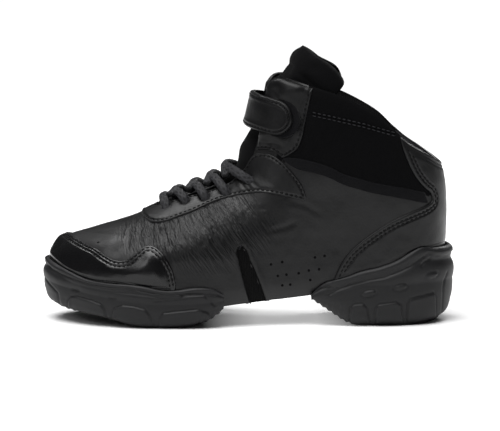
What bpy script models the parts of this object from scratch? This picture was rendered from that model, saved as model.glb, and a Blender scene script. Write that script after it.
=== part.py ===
"""High-top split-sole dance sneaker, left foot. Toe along -X, outer side along -Y, up along +Z, in metres.

The origin is the centre of the heel's flat tread on the floor.
"""

import math

import bmesh
import bpy
import numpy as np
from mathutils import Vector
from mathutils.bvhtree import BVHTree

# Driving sizes
LENGTH = 0.267  # toe of the sole to the back of the heel
HEIGHT = 0.177  # floor to the top of the tongue
HEEL_BACK = 0.039  # middle of the heel tread to the back of the sole
BALL_WIDTH = 0.096  # upper, across the ball of the foot
SHAFT_WIDTH = 0.070  # upper, across the ankle
WALL = 0.0022  # leather and lining together
CLEARANCE = 0.0003  # between pieces that touch
CURVE_CLEARANCE = 0.0005  # between faceted pieces that follow one curved form
LEATHER = 0.0012  # one overlay
ELASTIC = 0.0007
MARGIN = 0.009  # leather turned in under the foot

TOE_ROUND = 0.056
HEEL_ROUND = 0.036
ROUND_POWER = 2.15
FEATHER_TUCK = 0.10
FEATHER_HEIGHT = 0.011
TOE_SPINE = 0.044
HEEL_SPINE = 0.034

THROAT_GAP = 0.011
THROAT_ROUND = 0.009
THROAT_GROWTH = 0.17  # how fast the half gap widens with distance up the instep

INSOLE_THICKNESS = 0.004
INSOLE_CLEARANCE = 0.0010
TONGUE_LINING = 0.0052
TONGUE_TOP_PAD = 0.0085
STRAP_WIDTH = 0.0215
STRAP_THICKNESS = 0.0026
STRAP_LOOP = 0.0010  # how far the strap's inner face stands ahead of the shin line
LACE = 0.0046

# Mesh density, and how sheets are settled on each other.
COLUMNS = 34
ROWS = 8
ROUND_STEPS = (0.008, 0.018)  # more sections of a sole near its round end, from the end
END_BUNCH = 0.55
JOINED_BUNCH = 1.3
SETTLE_ROUNDS = 12
SETTLE_REACH = 0.003
WELD = 2e-5


def place_x(place):
    """X of a share of the length, 0 at the toe and 1 at the heel."""
    return (np.asarray(place) - 1.0) * LENGTH + HEEL_BACK


def x_place(x):
    return (x - HEEL_BACK) / LENGTH + 1.0


def table(columns, rows):
    return dict(zip(columns.split(), np.array(rows, float).T))


def smooth(knots, values, at):
    """A smooth line through a table's rows."""
    knots = np.asarray(knots, float)
    values = np.asarray(values, float)
    at = np.clip(at, knots[0], knots[-1])
    slope = np.gradient(values, knots)
    k = np.clip(np.searchsorted(knots, at, side="right") - 1, 0, len(knots) - 2)
    span = knots[k + 1] - knots[k]
    t = (at - knots[k]) / span
    a = values[k] * (1 + 2 * t) * (1 - t) ** 2 + slope[k] * span * t * (1 - t) ** 2
    return a + values[k + 1] * t * t * (3 - 2 * t) + slope[k + 1] * span * t * t * (t - 1)


def ease(t):
    t = np.clip(t, 0.0, 1.0)
    return t * t * (3 - 2 * t)


def rounded(t):
    """0 at a silhouette, rising like a quarter of a superellipse to 1."""
    t = np.clip(t, 0.0, 1.0)
    return (1 - (1 - t) ** ROUND_POWER) ** (1 / ROUND_POWER)


def unrounded(f):
    f = np.clip(f, 0.0, 1.0)
    return 1 - (1 - f**ROUND_POWER) ** (1 / ROUND_POWER)


# The last. place: share of the length. half: half width as a share of the ball width. middle: the centre line's
# shift to the inner side, as a share of the ball width. bed: underside, top_round: depth of the rounding under the
# ridge, both as shares of the height.
LAST = table(
    "place half middle bed top_round",
    [
        (0.00, 0.400, 0.075, 0.128, 0.170),
        (0.06, 0.430, 0.070, 0.106, 0.172),
        (0.12, 0.458, 0.060, 0.089, 0.178),
        (0.20, 0.487, 0.045, 0.073, 0.190),
        (0.28, 0.500, 0.028, 0.065, 0.205),
        (0.36, 0.490, 0.010, 0.067, 0.225),
        (0.44, 0.455, -0.004, 0.076, 0.250),
        (0.52, 0.410, -0.010, 0.089, 0.262),
        (0.60, 0.375, -0.010, 0.102, 0.262),
        (0.70, 0.355, -0.005, 0.116, 0.262),
        (0.85, 0.350, 0.000, 0.128, 0.262),
        (1.00, 0.345, 0.000, 0.135, 0.262),
    ],
)
# The front of the upper and its back, as places for each height.
FRONT = table(
    "height place",
    [
        (0.11, 0.040),
        (0.135, 0.029),
        (0.17, 0.021),
        (0.20, 0.019),
        (0.24, 0.021),
        (0.267, 0.029),
        (0.290, 0.040),
        (0.302, 0.052),
        (0.320, 0.080),
    ],
)
BACK = table(
    "height place",
    [
        (0.13, 0.956),
        (0.17, 0.965),
        (0.22, 0.970),
        (0.28, 0.972),
        (0.36, 0.973),
        (0.43, 0.974),
        (0.49, 0.971),
        (0.55, 0.965),
        (0.60, 0.957),
        (0.70, 0.946),
        (0.90, 0.930),
    ],
)
# The line where both sides of the form would meet: vamp, instep and shin.
RIDGE = table(
    "place height",
    [
        (0.052, 0.302),
        (0.100, 0.323),
        (0.134, 0.338),
        (0.175, 0.356),
        (0.209, 0.372),
        (0.240, 0.390),
        (0.286, 0.422),
        (0.352, 0.464),
        (0.416, 0.507),
        (0.455, 0.548),
        (0.475, 0.592),
        (0.487, 0.640),
        (0.498, 0.703),
        (0.510, 0.776),
        (0.522, 0.850),
        (0.536, 0.925),
        (0.556, 1.010),
    ],
)
# The edge of the upper from the top of the throat over the flap and round the collar.
COLLAR = table(
    "place height",
    [
        (0.514, 0.617),
        (0.523, 0.670),
        (0.531, 0.740),
        (0.538, 0.810),
        (0.544, 0.862),
        (0.557, 0.886),
        (0.575, 0.893),
        (0.600, 0.884),
        (0.630, 0.870),
        (0.658, 0.857),
        (0.724, 0.823),
        (0.775, 0.785),
        (0.818, 0.744),
        (0.855, 0.693),
        (0.888, 0.654),
        (0.920, 0.625),
        (0.943, 0.602),
        (0.959, 0.584),
    ],
)
THROAT_FRONT = 0.281
THROAT_TOP = 0.470
# Columns of the upper: which place under the foot each part of its upper edge stands over.
FAN = table(
    "column foot",
    [
        (0.00, 0.026),
        (0.08, 0.075),
        (0.18, 0.170),
        (0.30, 0.300),
        (0.42, 0.430),
        (0.52, 0.540),
        (0.60, 0.640),
        (0.70, 0.730),
        (0.80, 0.810),
        (0.90, 0.895),
        (0.96, 0.945),
        (1.00, 0.960),
    ],
)
COLUMN_THROAT = 0.28
COLUMN_FLAP = 0.56

# The two soles. bottom: tread line. lip: top of the side wall. flare: how far the side stands out from the
# upper, as a share of the ball width. seat: 1 where an overlay lies between lip and upper.
FOREFOOT = table(
    "place bottom lip flare seat",
    [
        (0.000, 0.058, 0.226, 0.054, 1),
        (0.030, 0.048, 0.207, 0.050, 1),
        (0.060, 0.042, 0.190, 0.038, 1),
        (0.100, 0.035, 0.170, 0.042, 1),
        (0.160, 0.020, 0.160, 0.044, 1),
        (0.205, 0.004, 0.158, 0.046, 1),
        (0.235, 0.000, 0.154, 0.046, 1),
        (0.300, 0.000, 0.138, 0.046, 1),
        (0.325, 0.002, 0.140, 0.044, 1),
        (0.345, 0.005, 0.145, 0.042, 0),
        (0.370, 0.010, 0.149, 0.040, 0),
        (0.400, 0.022, 0.147, 0.036, 0),
        (0.425, 0.044, 0.137, 0.030, 0),
        (0.440, 0.062, 0.124, 0.022, 0),
    ],
)
HEEL = table(
    "place bottom lip flare seat",
    [
        (0.650, 0.094, 0.116, 0.020, 0),
        (0.668, 0.078, 0.141, 0.028, 0),
        (0.690, 0.058, 0.160, 0.034, 0),
        (0.712, 0.038, 0.168, 0.040, 1),
        (0.745, 0.010, 0.181, 0.046, 1),
        (0.775, 0.000, 0.197, 0.048, 1),
        (0.830, 0.000, 0.216, 0.050, 1),
        (0.870, 0.000, 0.238, 0.050, 1),
        (0.905, 0.000, 0.267, 0.048, 1),
        (0.930, 0.000, 0.283, 0.046, 1),
        (0.960, 0.002, 0.279, 0.060, 1),
        (1.000, 0.006, 0.276, 0.080, 1),
    ],
)
# One side of a sole, from the tread up and over the lip. rise: share of the way from tread to lip.
# out: share of the flare.
SOLE_SIDE = table(
    "rise out",
    [
        (0.00, -1.90),
        (0.00, -0.30),
        (0.07, 0.30),
        (0.30, 0.95),
        (0.55, 1.08),
        (0.76, 0.88),
        (0.84, 0.62),
        (0.93, 0.80),
        (1.00, 0.62),
    ],
)


# Blocks on the sides of the soles: first and last place, foot and top as shares of the height. A foot of None
# starts at the tread.
FORE_BLOCKS = [(0.072, 0.160, None, 0.084), (0.180, 0.268, None, 0.072), (0.293, 0.402, None, 0.066)]
FORE_WRAP = (0.052, None, 0.116)
HEEL_BLOCKS = [
    (0.786, 0.746, None, 0.071),
    (0.864, 0.804, None, 0.078),
    (0.940, 0.880, None, 0.096),
    (0.802, 0.774, 0.111, 0.131),
    (0.876, 0.848, 0.133, 0.153),
    (0.948, 0.922, 0.172, 0.195),
]
HEEL_WRAP = (0.962, None, 0.205)
LUG_PROUD = 0.0010
LUG_ROOT = 0.0024  # how deep a block is rooted, from its own face
LUG_SHAPE = ((0.0, 0.82), (0.14, 1.0), (0.86, 1.0), (1.0, 0.82))  # share along it, share of its height
BED_INSET = 0.004
LIP_EDGE = 0.0016  # least thickness of the lip
LIP_RISE = 0.8  # share of the side above which the lip begins
LUG_FOOT = 0.0010  # above the tread


def ridge_line():
    """The ridge as a fine line in the side view, with its inward normals."""
    place = np.linspace(RIDGE["place"][0], RIDGE["place"][-1], 500)
    x = place_x(place)
    z = smooth(RIDGE["place"], RIDGE["height"], place) * HEIGHT
    run, climb = np.gradient(x), np.gradient(z)
    size = np.hypot(run, climb)
    return x, z, climb / size, -run / size


RIDGE_X, RIDGE_Z, RIDGE_NX, RIDGE_NZ = ridge_line()


def bed_z(x):
    return smooth(LAST["place"], LAST["bed"], x_place(x)) * HEIGHT


def middle_y(x, z):
    """The centre line: it bends inward at the toe and is straight in the shaft."""
    fade = 1 - ease((z / HEIGHT - 0.40) / 0.30)
    return smooth(LAST["place"], LAST["middle"], x_place(x)) * BALL_WIDTH * fade


def front_x(z):
    return place_x(smooth(FRONT["height"], FRONT["place"], z / HEIGHT))


def back_x(z):
    return place_x(smooth(BACK["height"], BACK["place"], z / HEIGHT))


def full_width(x, z):
    """Half width before the form rounds off towards its silhouette."""
    place, height = x_place(x), z / HEIGHT
    foot = smooth(LAST["place"], LAST["half"], place) * BALL_WIDTH
    shaft = SHAFT_WIDTH / 2
    climb = ease((height - 0.24) / 0.36)
    low = np.clip((z - bed_z(x)) / FEATHER_HEIGHT, 0.0, 1.0)
    return (foot * (1 - climb) + shaft * climb) * (1 - FEATHER_TUCK * (1 - low) ** 2)


def half_width(x, z):
    """The upper's outer surface: its half width at a point of the side view."""
    x, z = np.broadcast_arrays(np.asarray(x, float), np.asarray(z, float))
    gap = np.hypot(x[..., None] - RIDGE_X, z[..., None] - RIDGE_Z).min(axis=-1)
    depth = smooth(LAST["place"], LAST["top_round"], x_place(x)) * HEIGHT
    wide = full_width(x, z) * rounded(gap / depth)
    return wide * rounded((x - front_x(z)) / TOE_ROUND) * rounded((back_x(z) - x) / HEEL_ROUND)


def throat_half_gap(x):
    """Half the width of the throat: round at its front, wider up the instep."""
    along = x - place_x(THROAT_FRONT)
    bend = np.sqrt(1 - (1 - np.clip(along / THROAT_ROUND, 0.0, 1.0)) ** 2)
    return THROAT_GAP * bend + THROAT_GROWTH * np.clip(along, 0.0, None)


def ridge_at(place):
    x = place_x(place)
    return x, np.interp(x, RIDGE_X, RIDGE_Z)


def throat_edge(place):
    """The edge of the throat in the side view: the ridge lowered until the form is as wide as the gap."""
    x, z = ridge_at(place)
    share = throat_half_gap(x) / full_width(x, z)
    drop = unrounded(share) * smooth(LAST["place"], LAST["top_round"], place) * HEIGHT
    return x + drop * np.interp(x, RIDGE_X, RIDGE_NX), z + drop * np.interp(x, RIDGE_X, RIDGE_NZ)


def line(rows, shares):
    """Points at shares of the way along a smooth line through (place, height) rows, in metres."""
    rows = np.array(rows, float)
    x, z = place_x(rows[:, 0]), rows[:, 1] * HEIGHT
    run = np.concatenate([[0], np.cumsum(np.hypot(np.diff(x), np.diff(z)))])
    t = np.asarray(shares) * run[-1]
    return np.stack([smooth(run, x, t), smooth(run, z, t)], axis=1)


def column_shares():
    """Columns of the upper, closer together towards the toe and the heel, where the form turns."""
    even = np.linspace(0, 1, COLUMNS)
    return even * (1 - END_BUNCH) + END_BUNCH * (1 - np.cos(even * math.pi)) / 2


def upper_edge():
    """The upper's own top edge, a point for each column: vamp ridge, throat, flap and collar."""
    edge = []
    collar = line(np.stack([COLLAR["place"], COLLAR["height"]], 1), np.linspace(0, 1, 400))
    for column in column_shares():
        if column <= COLUMN_THROAT:
            share = column / COLUMN_THROAT
            place = RIDGE["place"][0] + (THROAT_FRONT - RIDGE["place"][0]) * share
            edge.append(ridge_at(place))
        elif column <= COLUMN_FLAP:
            share = (column - COLUMN_THROAT) / (COLUMN_FLAP - COLUMN_THROAT)
            edge.append(throat_edge(THROAT_FRONT + (THROAT_TOP - THROAT_FRONT) * share**1.25))
        else:
            share = (column - COLUMN_FLAP) / (1 - COLUMN_FLAP)
            edge.append(collar[int(share * 399)])
    return np.array(edge)


def side_point(x, z, side, flat=False):
    """A point of the upper's outer surface. side is -1 outer, 1 inner. flat: it is on the silhouette."""
    y = 0.0 if flat else float(half_width(x, z))
    return Vector((x, float(middle_y(x, z)) + side * y, z))


def mesh_object(name, bm, material):
    bmesh.ops.remove_doubles(bm, verts=bm.verts, dist=1e-6)
    bmesh.ops.dissolve_degenerate(bm, edges=bm.edges, dist=1e-6)
    bmesh.ops.recalc_face_normals(bm, faces=bm.faces)
    if bm.calc_volume(signed=True) < 0:
        bmesh.ops.reverse_faces(bm, faces=bm.faces)
    mesh = bpy.data.meshes.new(name)
    bm.to_mesh(mesh)
    bm.free()
    obj = bpy.data.objects.new(name, mesh)
    PARTS.objects.link(obj)
    mesh.materials.append(material)
    mesh.shade_smooth()
    mesh.set_sharp_from_angle(angle=math.radians(38))
    return obj


def add_grid(bm, rows):
    """Quads between rows of points."""
    verts = [[bm.verts.new(point) for point in row] for row in rows]
    for lower, upper in zip(verts, verts[1:]):
        for k in range(len(lower) - 1):
            bm.faces.new((lower[k], lower[k + 1], upper[k + 1], upper[k]))
    return verts


def loft(name, rings, material, cap_first=False, cap_last=False):
    """A closed solid through closed rings of points."""
    bm = bmesh.new()
    verts = add_grid(bm, [list(ring) + [ring[0]] for ring in rings])
    for capped, ring in ((cap_first, verts[0]), (cap_last, verts[-1])):
        if capped:
            bm.faces.new(ring[:-1])
    return mesh_object(name, bm, material)


def surface_of(*objects):
    """The finished outside of objects: their points, and a tree to measure distances with."""
    graph = bpy.context.evaluated_depsgraph_get()
    points, faces = [], []
    for obj in objects:
        mesh = obj.evaluated_get(graph).data
        mesh.calc_loop_triangles()
        start = len(points)
        points += [vert.co.copy() for vert in mesh.vertices]
        faces += [[start + k for k in face.vertices] for face in mesh.loop_triangles]
    return points, BVHTree.FromPolygons(points, faces)


def lacking(bm, under, gap):
    """How far each face of a sheet is from clearing what lies under it."""
    points, tree = under
    bm.faces.ensure_lookup_table()
    lack = [0.0] * len(bm.faces)
    for face in bm.faces:
        corners = [vert.co for vert in face.verts]
        samples = corners + [(a + b) / 2 for a in corners for b in corners if a != b]
        for sample in samples:
            start = sample + face.normal * SETTLE_REACH
            distance = tree.ray_cast(start, -face.normal, SETTLE_REACH * 2)[3]
            if distance is not None:
                lack[face.index] = max(lack[face.index], gap + SETTLE_REACH - distance)
    sheet = BVHTree.FromBMesh(bm)
    for point in points:
        near, normal, index, distance = sheet.find_nearest(point, SETTLE_REACH)
        if near is None:
            continue
        proud = (point - near).dot(normal)
        if abs(proud) > 0.9 * distance:
            lack[index] = max(lack[index], gap + proud)
    return lack


def settle(bm, under, gap):
    """Move a sheet's points out until every facet clears what lies under it."""
    bm.faces.index_update()
    for _ in range(SETTLE_ROUNDS):
        bm.normal_update()
        moves = {}
        for face, lack in zip(bm.faces, lacking(bm, under, gap)):
            for vert in face.verts:
                moves[vert] = max(moves.get(vert, 0.0), lack)
        for vert, move in moves.items():
            vert.co += vert.normal * move
        if max(moves.values()) < 1e-5:
            break


def sheet_object(name, grids, material, thickness, outwards=1, under=None):
    """A closed sheet from grids of points: its faces turned out, settled on what lies under, and thickened."""
    bm = bmesh.new()
    for rows in grids:
        add_grid(bm, rows)
    bmesh.ops.remove_doubles(bm, verts=bm.verts, dist=WELD)
    bmesh.ops.recalc_face_normals(bm, faces=bm.faces)
    if sum(face.normal.y * face.calc_center_median().y for face in bm.faces) < 0:
        bmesh.ops.reverse_faces(bm, faces=bm.faces)
    if under:
        settle(bm, under, CLEARANCE)
    mesh = bpy.data.meshes.new(name)
    bm.to_mesh(mesh)
    bm.free()
    obj = bpy.data.objects.new(name, mesh)
    PARTS.objects.link(obj)
    mesh.materials.append(material)
    mesh.shade_smooth()
    solid = obj.modifiers.new("Thickness", "SOLIDIFY")
    solid.thickness = thickness
    solid.offset = outwards
    solid.use_even_offset = True
    return obj


def blended(left, right, lower, upper, bunch):
    """A grid of side-view points spanned by its four edges. left and right run up, lower and upper run along."""
    u = (np.linspace(0, 1, len(lower)) ** bunch)[None, :, None]
    v = np.linspace(0, 1, len(left))[:, None, None]
    across = left[:, None] * (1 - u) + right[:, None] * u
    upright = lower[None] * (1 - v) + upper[None] * v
    corners = (lower[0] * (1 - u) + lower[-1] * u) * (1 - v) + (upper[0] * (1 - u) + upper[-1] * u) * v
    return across + upright - corners


def build_upper(material):
    """One hollow wall: two sides that meet along the vamp and the heel, open at throat, collar and underneath."""
    edge = upper_edge()
    columns = column_shares()
    foot_x = place_x(smooth(FAN["column"], FAN["foot"], columns))
    foot = np.stack([foot_x, bed_z(foot_x)], axis=1)
    climb = np.sin(np.linspace(0, 1, ROWS) * math.pi / 2) ** 1.15
    front_z = foot[0, 1] + (edge[0, 1] - foot[0, 1]) * climb
    back_z = foot[-1, 1] + (edge[-1, 1] - foot[-1, 1]) * climb
    left = np.stack([front_x(front_z), front_z], axis=1)
    right = np.stack([back_x(back_z), back_z], axis=1)
    grids = []
    for side in (-1, 1):
        rows = []
        for v, share in enumerate(climb):
            row = []
            for u, column in enumerate(columns):
                x, z = foot[u] * (1 - share) + edge[u] * share
                x += (left[v, 0] - (foot[0, 0] * (1 - share) + edge[0, 0] * share)) * (1 - column) ** 2
                x += (right[v, 0] - (foot[-1, 0] * (1 - share) + edge[-1, 0] * share)) * column**2
                shut = u in (0, COLUMNS - 1) or (v == ROWS - 1 and column <= COLUMN_THROAT)
                row.append(side_point(x, z, side, shut))
            rows.append(row)
        turned = [[margin_point(corner, inward) for corner in rows[0]] for inward in (1.0, 0.66, 0.33)]
        grids.append(turned + rows)
    return sheet_object("upper", grids, material, WALL, outwards=-1)


def spine_point(x, z):
    """The point of the centre line that the turned-in leather runs towards."""
    x = min(max(x, front_x(bed_z(x)) + TOE_SPINE), back_x(z) - HEEL_SPINE)
    return Vector((x, float(middle_y(x, z)), z))


def margin_point(corner, inward):
    """The leather turned in under the foot, closed to the centre line at the arch."""
    spine = spine_point(corner.x, corner.z)
    reach = (spine - corner).length
    place = x_place(corner.x)
    arch = ease((place - 0.37) / 0.05) * (1 - ease((place - 0.68) / 0.05))
    share = min(1.0, MARGIN / max(reach, 1e-6))
    share = share + (1 - share) * arch
    point = corner.lerp(spine, share * inward)
    point.z = float(bed_z(point.x))
    return point


def sole_levels(shape, place):
    """Height of the tread and of the lip, and the flare of the side, at a place."""
    bottom = max(float(smooth(shape["place"], shape["bottom"], place)), 0.0) * HEIGHT
    lip = float(smooth(shape["place"], shape["lip"], place)) * HEIGHT
    return bottom, lip, float(smooth(shape["place"], shape["flare"], place)) * BALL_WIDTH


def sole_rings(shape, first, last, round_end):
    """Rings of a cupped sole round the upper: tread, side wall, lip, and the seat that the upper stands in."""
    rings = []
    places = np.append(shape["place"], [first - round_end * step for step in ROUND_STEPS])
    for place in sorted(places, reverse=round_end > 0):
        part = (place - first) / (last - first)
        bottom, lip, flare = sole_levels(shape, place)
        seat = ease(smooth(shape["place"], shape["seat"], place))
        half = []
        inner_lift = CLEARANCE + (LEATHER + CLEARANCE) * seat
        for rise, out in zip(SOLE_SIDE["rise"], SOLE_SIDE["out"]):
            z = bottom + (lip - bottom) * rise
            out_m = max(flare * out, inner_lift + LIP_EDGE) if rise > LIP_RISE else flare * out
            half.append(sole_point(part, place, z, out_m, first, last, round_end))
        for z_share in (1.0, 0.5, 0.10):
            z = bed_z(place_x(place)) * (1 - z_share) + lip * z_share
            half.append(sole_point(part, place, z, inner_lift, first, last, round_end))
        half.append(sole_point(part, place, None, -BED_INSET, first, last, round_end))
        rings.append(half)
    return rings


def sole_point(part, place, z, out, first, last, round_end):
    """A point at a height on the upper's own contour, moved outwards, as (x, half width, height)."""
    x_ref = place_x(place)
    level = max(z if z is not None else 0.0, float(bed_z(x_ref)) + 0.004)
    edge = front_x(level) if round_end < 0 else back_x(level)
    origin = place_x(first)
    x = edge + (x_ref - origin) * (place_x(last) - edge) / (place_x(last) - origin)
    step = 0.0004
    ahead, behind = float(half_width(x + step, level)), float(half_width(x - step, level))
    width = float(half_width(x, level)) if part > 0 else 0.0
    slope = (ahead - behind) / (2 * step)
    if part == 0:
        normal = (float(round_end), 0.0)
    else:
        size = math.hypot(slope, 1.0)
        normal = (-slope / size, 1.0 / size)
    x_out = x + normal[0] * out
    height = float(bed_z(x_out)) - CURVE_CLEARANCE if z is None else z
    return (x_out, max(width + normal[1] * out, 0.0), height, x)


def relief_block(bm, shape, first, last, round_end, stops, low, high):
    """A raised block on a sole's side: stops are (place, side, share of full height) along it."""
    rings = []
    for place, side, full in stops:
        bottom, lip, flare = sole_levels(shape, place)
        foot = bottom + LUG_FOOT if low is None else low * HEIGHT
        top = foot + (high * HEIGHT - foot) * full
        ring = []
        for level, proud in ((0.0, 0.8), (0.8, 1.0), (1.0, 0.4)):
            z = foot + (top - foot) * level
            rise = (z - bottom) / (lip - bottom)
            out = float(smooth(SOLE_SIDE["rise"][1:], SOLE_SIDE["out"][1:], rise)) * flare
            ring.append((z, out + LUG_PROUD * proud))
        ring += [(z, out - LUG_ROOT) for z, out in reversed(ring)]
        points = []
        for z, out in ring:
            part = abs(place - first) / abs(last - first)
            point = sole_point(part, place, z, out, first, last, round_end)
            points.append(Vector((point[0], centre_of(point) + side * point[1], point[2])))
        rings.append(points)
    verts = add_grid(bm, [ring + [ring[0]] for ring in rings])
    bm.faces.new(verts[0][:-1])
    bm.faces.new(verts[-1][:-1])


def add_relief(sole, shape, first, last, round_end, blocks, wrap):
    """Lugs and buttons on both sides of a sole and round its end, joined to it."""
    bm = bmesh.new()
    for side in (-1, 1):
        for start, stop, low, high in blocks:
            stops = [(start + (stop - start) * t, side, full) for t, full in LUG_SHAPE]
            relief_block(bm, shape, first, last, round_end, stops, low, high)
    reach, low, high = wrap
    turn = (1.0, 0.65, 0.30, 0.08)
    stops = [(first + (reach - first) * t, -1, 1.0) for t in turn] + [(first, 1, 1.0)]
    stops += [(first + (reach - first) * t, 1, 1.0) for t in reversed(turn)]
    relief_block(bm, shape, first, last, round_end, stops, low, high)
    lugs = mesh_object(sole.name + "_relief", bm, sole.data.materials[0])
    lugs.hide_render = True
    lugs.display_type = "WIRE"
    join = sole.modifiers.new("Relief", "BOOLEAN")
    join.operation = "UNION"
    join.object = lugs


def build_sole(name, shape, first, last, round_end, material, under):
    """A cupped sole, closed at its round end and cut across at the arch."""
    rings = []
    for half in sole_rings(shape, first, last, round_end):
        ring = []
        tread, bed = half[0], half[-1]
        ring.append(Vector((tread[0], centre_of(tread), tread[2])))
        for x, y, z, ref in half:
            ring.append(Vector((x, centre_of((x, y, z, ref)) - y, z)))
        ring.append(Vector((bed[0], centre_of(bed), bed[2])))
        for x, y, z, ref in reversed(half):
            ring.append(Vector((x, centre_of((x, y, z, ref)) + y, z)))
        rings.append(ring)
    fit_well(rings, len(SOLE_SIDE["rise"]) + 1, under)
    return loft(name, rings, material, cap_last=True)


def fit_well(rings, start, under):
    """Move the inside of a sole out until it clears the upper and the overlays that stand in it."""
    stop = len(rings[0]) + 1 - start
    bm = bmesh.new()
    verts = add_grid(bm, [ring[start:stop] for ring in rings])
    bm.normal_update()
    if sum(face.normal.y * face.calc_center_median().y for face in bm.faces) < 0:
        bmesh.ops.reverse_faces(bm, faces=bm.faces)
    settle(bm, under, CURVE_CLEARANCE)
    for ring, row in zip(rings, verts):
        ring[start:stop] = [vert.co.copy() for vert in row]
    for near, far in zip(range(start, stop), reversed(range(start, stop))):
        both = (rings[0][near] + rings[0][far]) / 2
        rings[0][near], rings[0][far] = both, both.copy()
    bm.free()


def centre_of(point):
    return float(middle_y(point[3], point[2]))


def build_insole(material):
    """A flat insole on the turned-in margin, inside the wall."""
    inset = WALL * 1.5 + INSOLE_CLEARANCE
    bottom_lift = WALL + CURVE_CLEARANCE
    turn = (1 - np.cos(np.linspace(0, math.pi, 22))) / 2
    rings = []
    for part in turn:
        ring = []
        for lift, more in ((bottom_lift, 0.0), (bottom_lift + INSOLE_THICKNESS, 0.0)):
            lo = float(front_x(0.15 * HEIGHT)) + inset + 0.004
            hi = float(back_x(0.17 * HEIGHT)) - inset - 0.003
            x = lo + (hi - lo) * part
            z = float(bed_z(x)) + lift
            width = max(float(half_width(x, float(bed_z(x)) + bottom_lift)) - inset, 0.0)
            width *= rounded(min(part, 1 - part) * (hi - lo) / 0.012)
            ring.append((x, width, z))
        (x, low, z0), (_, high, z1) = ring
        centre = float(middle_y(x, z0))
        rings.append(
            [
                Vector((x, centre - low, z0)),
                Vector((x, centre - high, z1)),
                Vector((x, centre, z1)),
                Vector((x, centre + high, z1)),
                Vector((x, centre + low, z0)),
                Vector((x, centre, z0)),
            ]
        )
    return loft("insole", rings, material)


# The tongue. place, height: its outer middle line. half: half width as a share of the shaft's. wrap: how deep it
# curves back as a share of the shaft width. pad: thickness from 0, lining, to 1, padded top. sink: how far its
# middle lies under the form's ridge, as a share of the wall.
TONGUE = table(
    "place height half wrap pad sink",
    [
        (0.250, 0.398, 0.40, 0.030, 0.0, 2.6),
        (0.300, 0.432, 0.46, 0.050, 0.0, 2.2),
        (0.352, 0.464, 0.54, 0.100, 0.1, 1.7),
        (0.416, 0.507, 0.64, 0.190, 0.2, 1.5),
        (0.455, 0.548, 0.72, 0.320, 0.3, 1.2),
        (0.477, 0.592, 0.78, 0.450, 0.5, 0.6),
        (0.490, 0.630, 0.80, 0.580, 0.7, 0.0),
        (0.508, 0.700, 0.82, 0.580, 0.9, 0.0),
        (0.532, 0.773, 0.86, 0.550, 1.0, 0.0),
        (0.559, 0.846, 0.89, 0.520, 1.0, 0.0),
        (0.590, 0.919, 0.90, 0.500, 1.0, 0.0),
        (0.618, 0.975, 0.89, 0.490, 0.9, 0.0),
        (0.627, 0.996, 0.88, 0.490, 0.3, 0.3),
    ],
)


def build_tongue(material):
    """A padded strip curved round the instep and shin, inside the throat and rising above the collar."""
    count, around = 16, 11
    rows = np.stack([TONGUE["place"], TONGUE["height"]], axis=1)
    spine = line(rows, np.linspace(0, 1, count))
    run = np.gradient(spine, axis=0)
    run /= np.hypot(run[:, 0], run[:, 1])[:, None]
    rings = []
    for k, (x, z) in enumerate(spine):
        place = x_place(x)
        half = smooth(TONGUE["place"], TONGUE["half"], place) * SHAFT_WIDTH / 2
        wrap = smooth(TONGUE["place"], TONGUE["wrap"], place) * SHAFT_WIDTH
        pad = smooth(TONGUE["place"], TONGUE["pad"], place)
        sink = smooth(TONGUE["place"], TONGUE["sink"], place) * WALL
        thick = TONGUE_LINING + (TONGUE_TOP_PAD - TONGUE_LINING) * pad
        inward = Vector((run[k, 1], 0, -run[k, 0]))
        outer, inner = [], []
        for turn in np.linspace(-1, 1, around):
            angle = turn * math.pi / 2
            thin = thick * (1 - 0.55 * abs(turn) ** 3)
            back = wrap * (1 - math.cos(angle))
            middle = float(middle_y(x, z))
            mid = Vector((x, middle, z)) + inward * (back + sink)
            outer.append(mid + Vector((0, half * math.sin(angle), 0)))
            normal = Vector((inward.x * math.cos(angle), -math.sin(angle), inward.z * math.cos(angle)))
            inner.append(outer[-1] + normal.normalized() * thin)
        rings.append(outer + inner[::-1])
    return loft("tongue", rings, material, cap_first=True, cap_last=True)


# Edges of the overlays on one side, as (place, height) rows, and of the strips.
CAP_TOP = [
    (0.064, 0.3075),
    (0.085, 0.296),
    (0.113, 0.283),
    (0.137, 0.272),
    (0.162, 0.253),
    (0.186, 0.240),
    (0.210, 0.243),
    (0.234, 0.267),
    (0.255, 0.290),
    (0.274, 0.293),
    (0.295, 0.273),
    (0.310, 0.242),
    (0.322, 0.205),
    (0.327, 0.172),
]
CAP_FOOT = [(0.019, 0.212), (0.060, 0.178), (0.120, 0.154), (0.200, 0.146), (0.260, 0.130), (0.325, 0.126)]
EYESTAY_FOOT = [
    (0.243, 0.3915),
    (0.252, 0.377),
    (0.271, 0.369),
    (0.299, 0.373),
    (0.331, 0.389),
    (0.369, 0.411),
    (0.407, 0.437),
    (0.447, 0.458),
    (0.488, 0.473),
    (0.515, 0.480),
    (0.555, 0.478),
    (0.595, 0.467),
    (0.632, 0.454),
]
EYESTAY_TAIL = [(0.517, 0.612), (0.543, 0.619), (0.559, 0.612), (0.580, 0.590), (0.606, 0.550), (0.628, 0.503), (0.637, 0.466)]
COUNTER_FRONT = [
    (0.700, 0.152),
    (0.712, 0.205),
    (0.736, 0.262),
    (0.761, 0.298),
    (0.786, 0.327),
    (0.812, 0.354),
    (0.845, 0.383),
    (0.894, 0.414),
    (0.919, 0.429),
    (0.936, 0.447),
    (0.934, 0.470),
    (0.916, 0.497),
    (0.900, 0.525),
    (0.884, 0.564),
    (0.870, 0.612),
    (0.862, 0.650),
    (0.858, 0.682),
]
COUNTER_FOOT = [(0.700, 0.152), (0.745, 0.166), (0.830, 0.200), (0.905, 0.250), (0.975, 0.262)]
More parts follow.
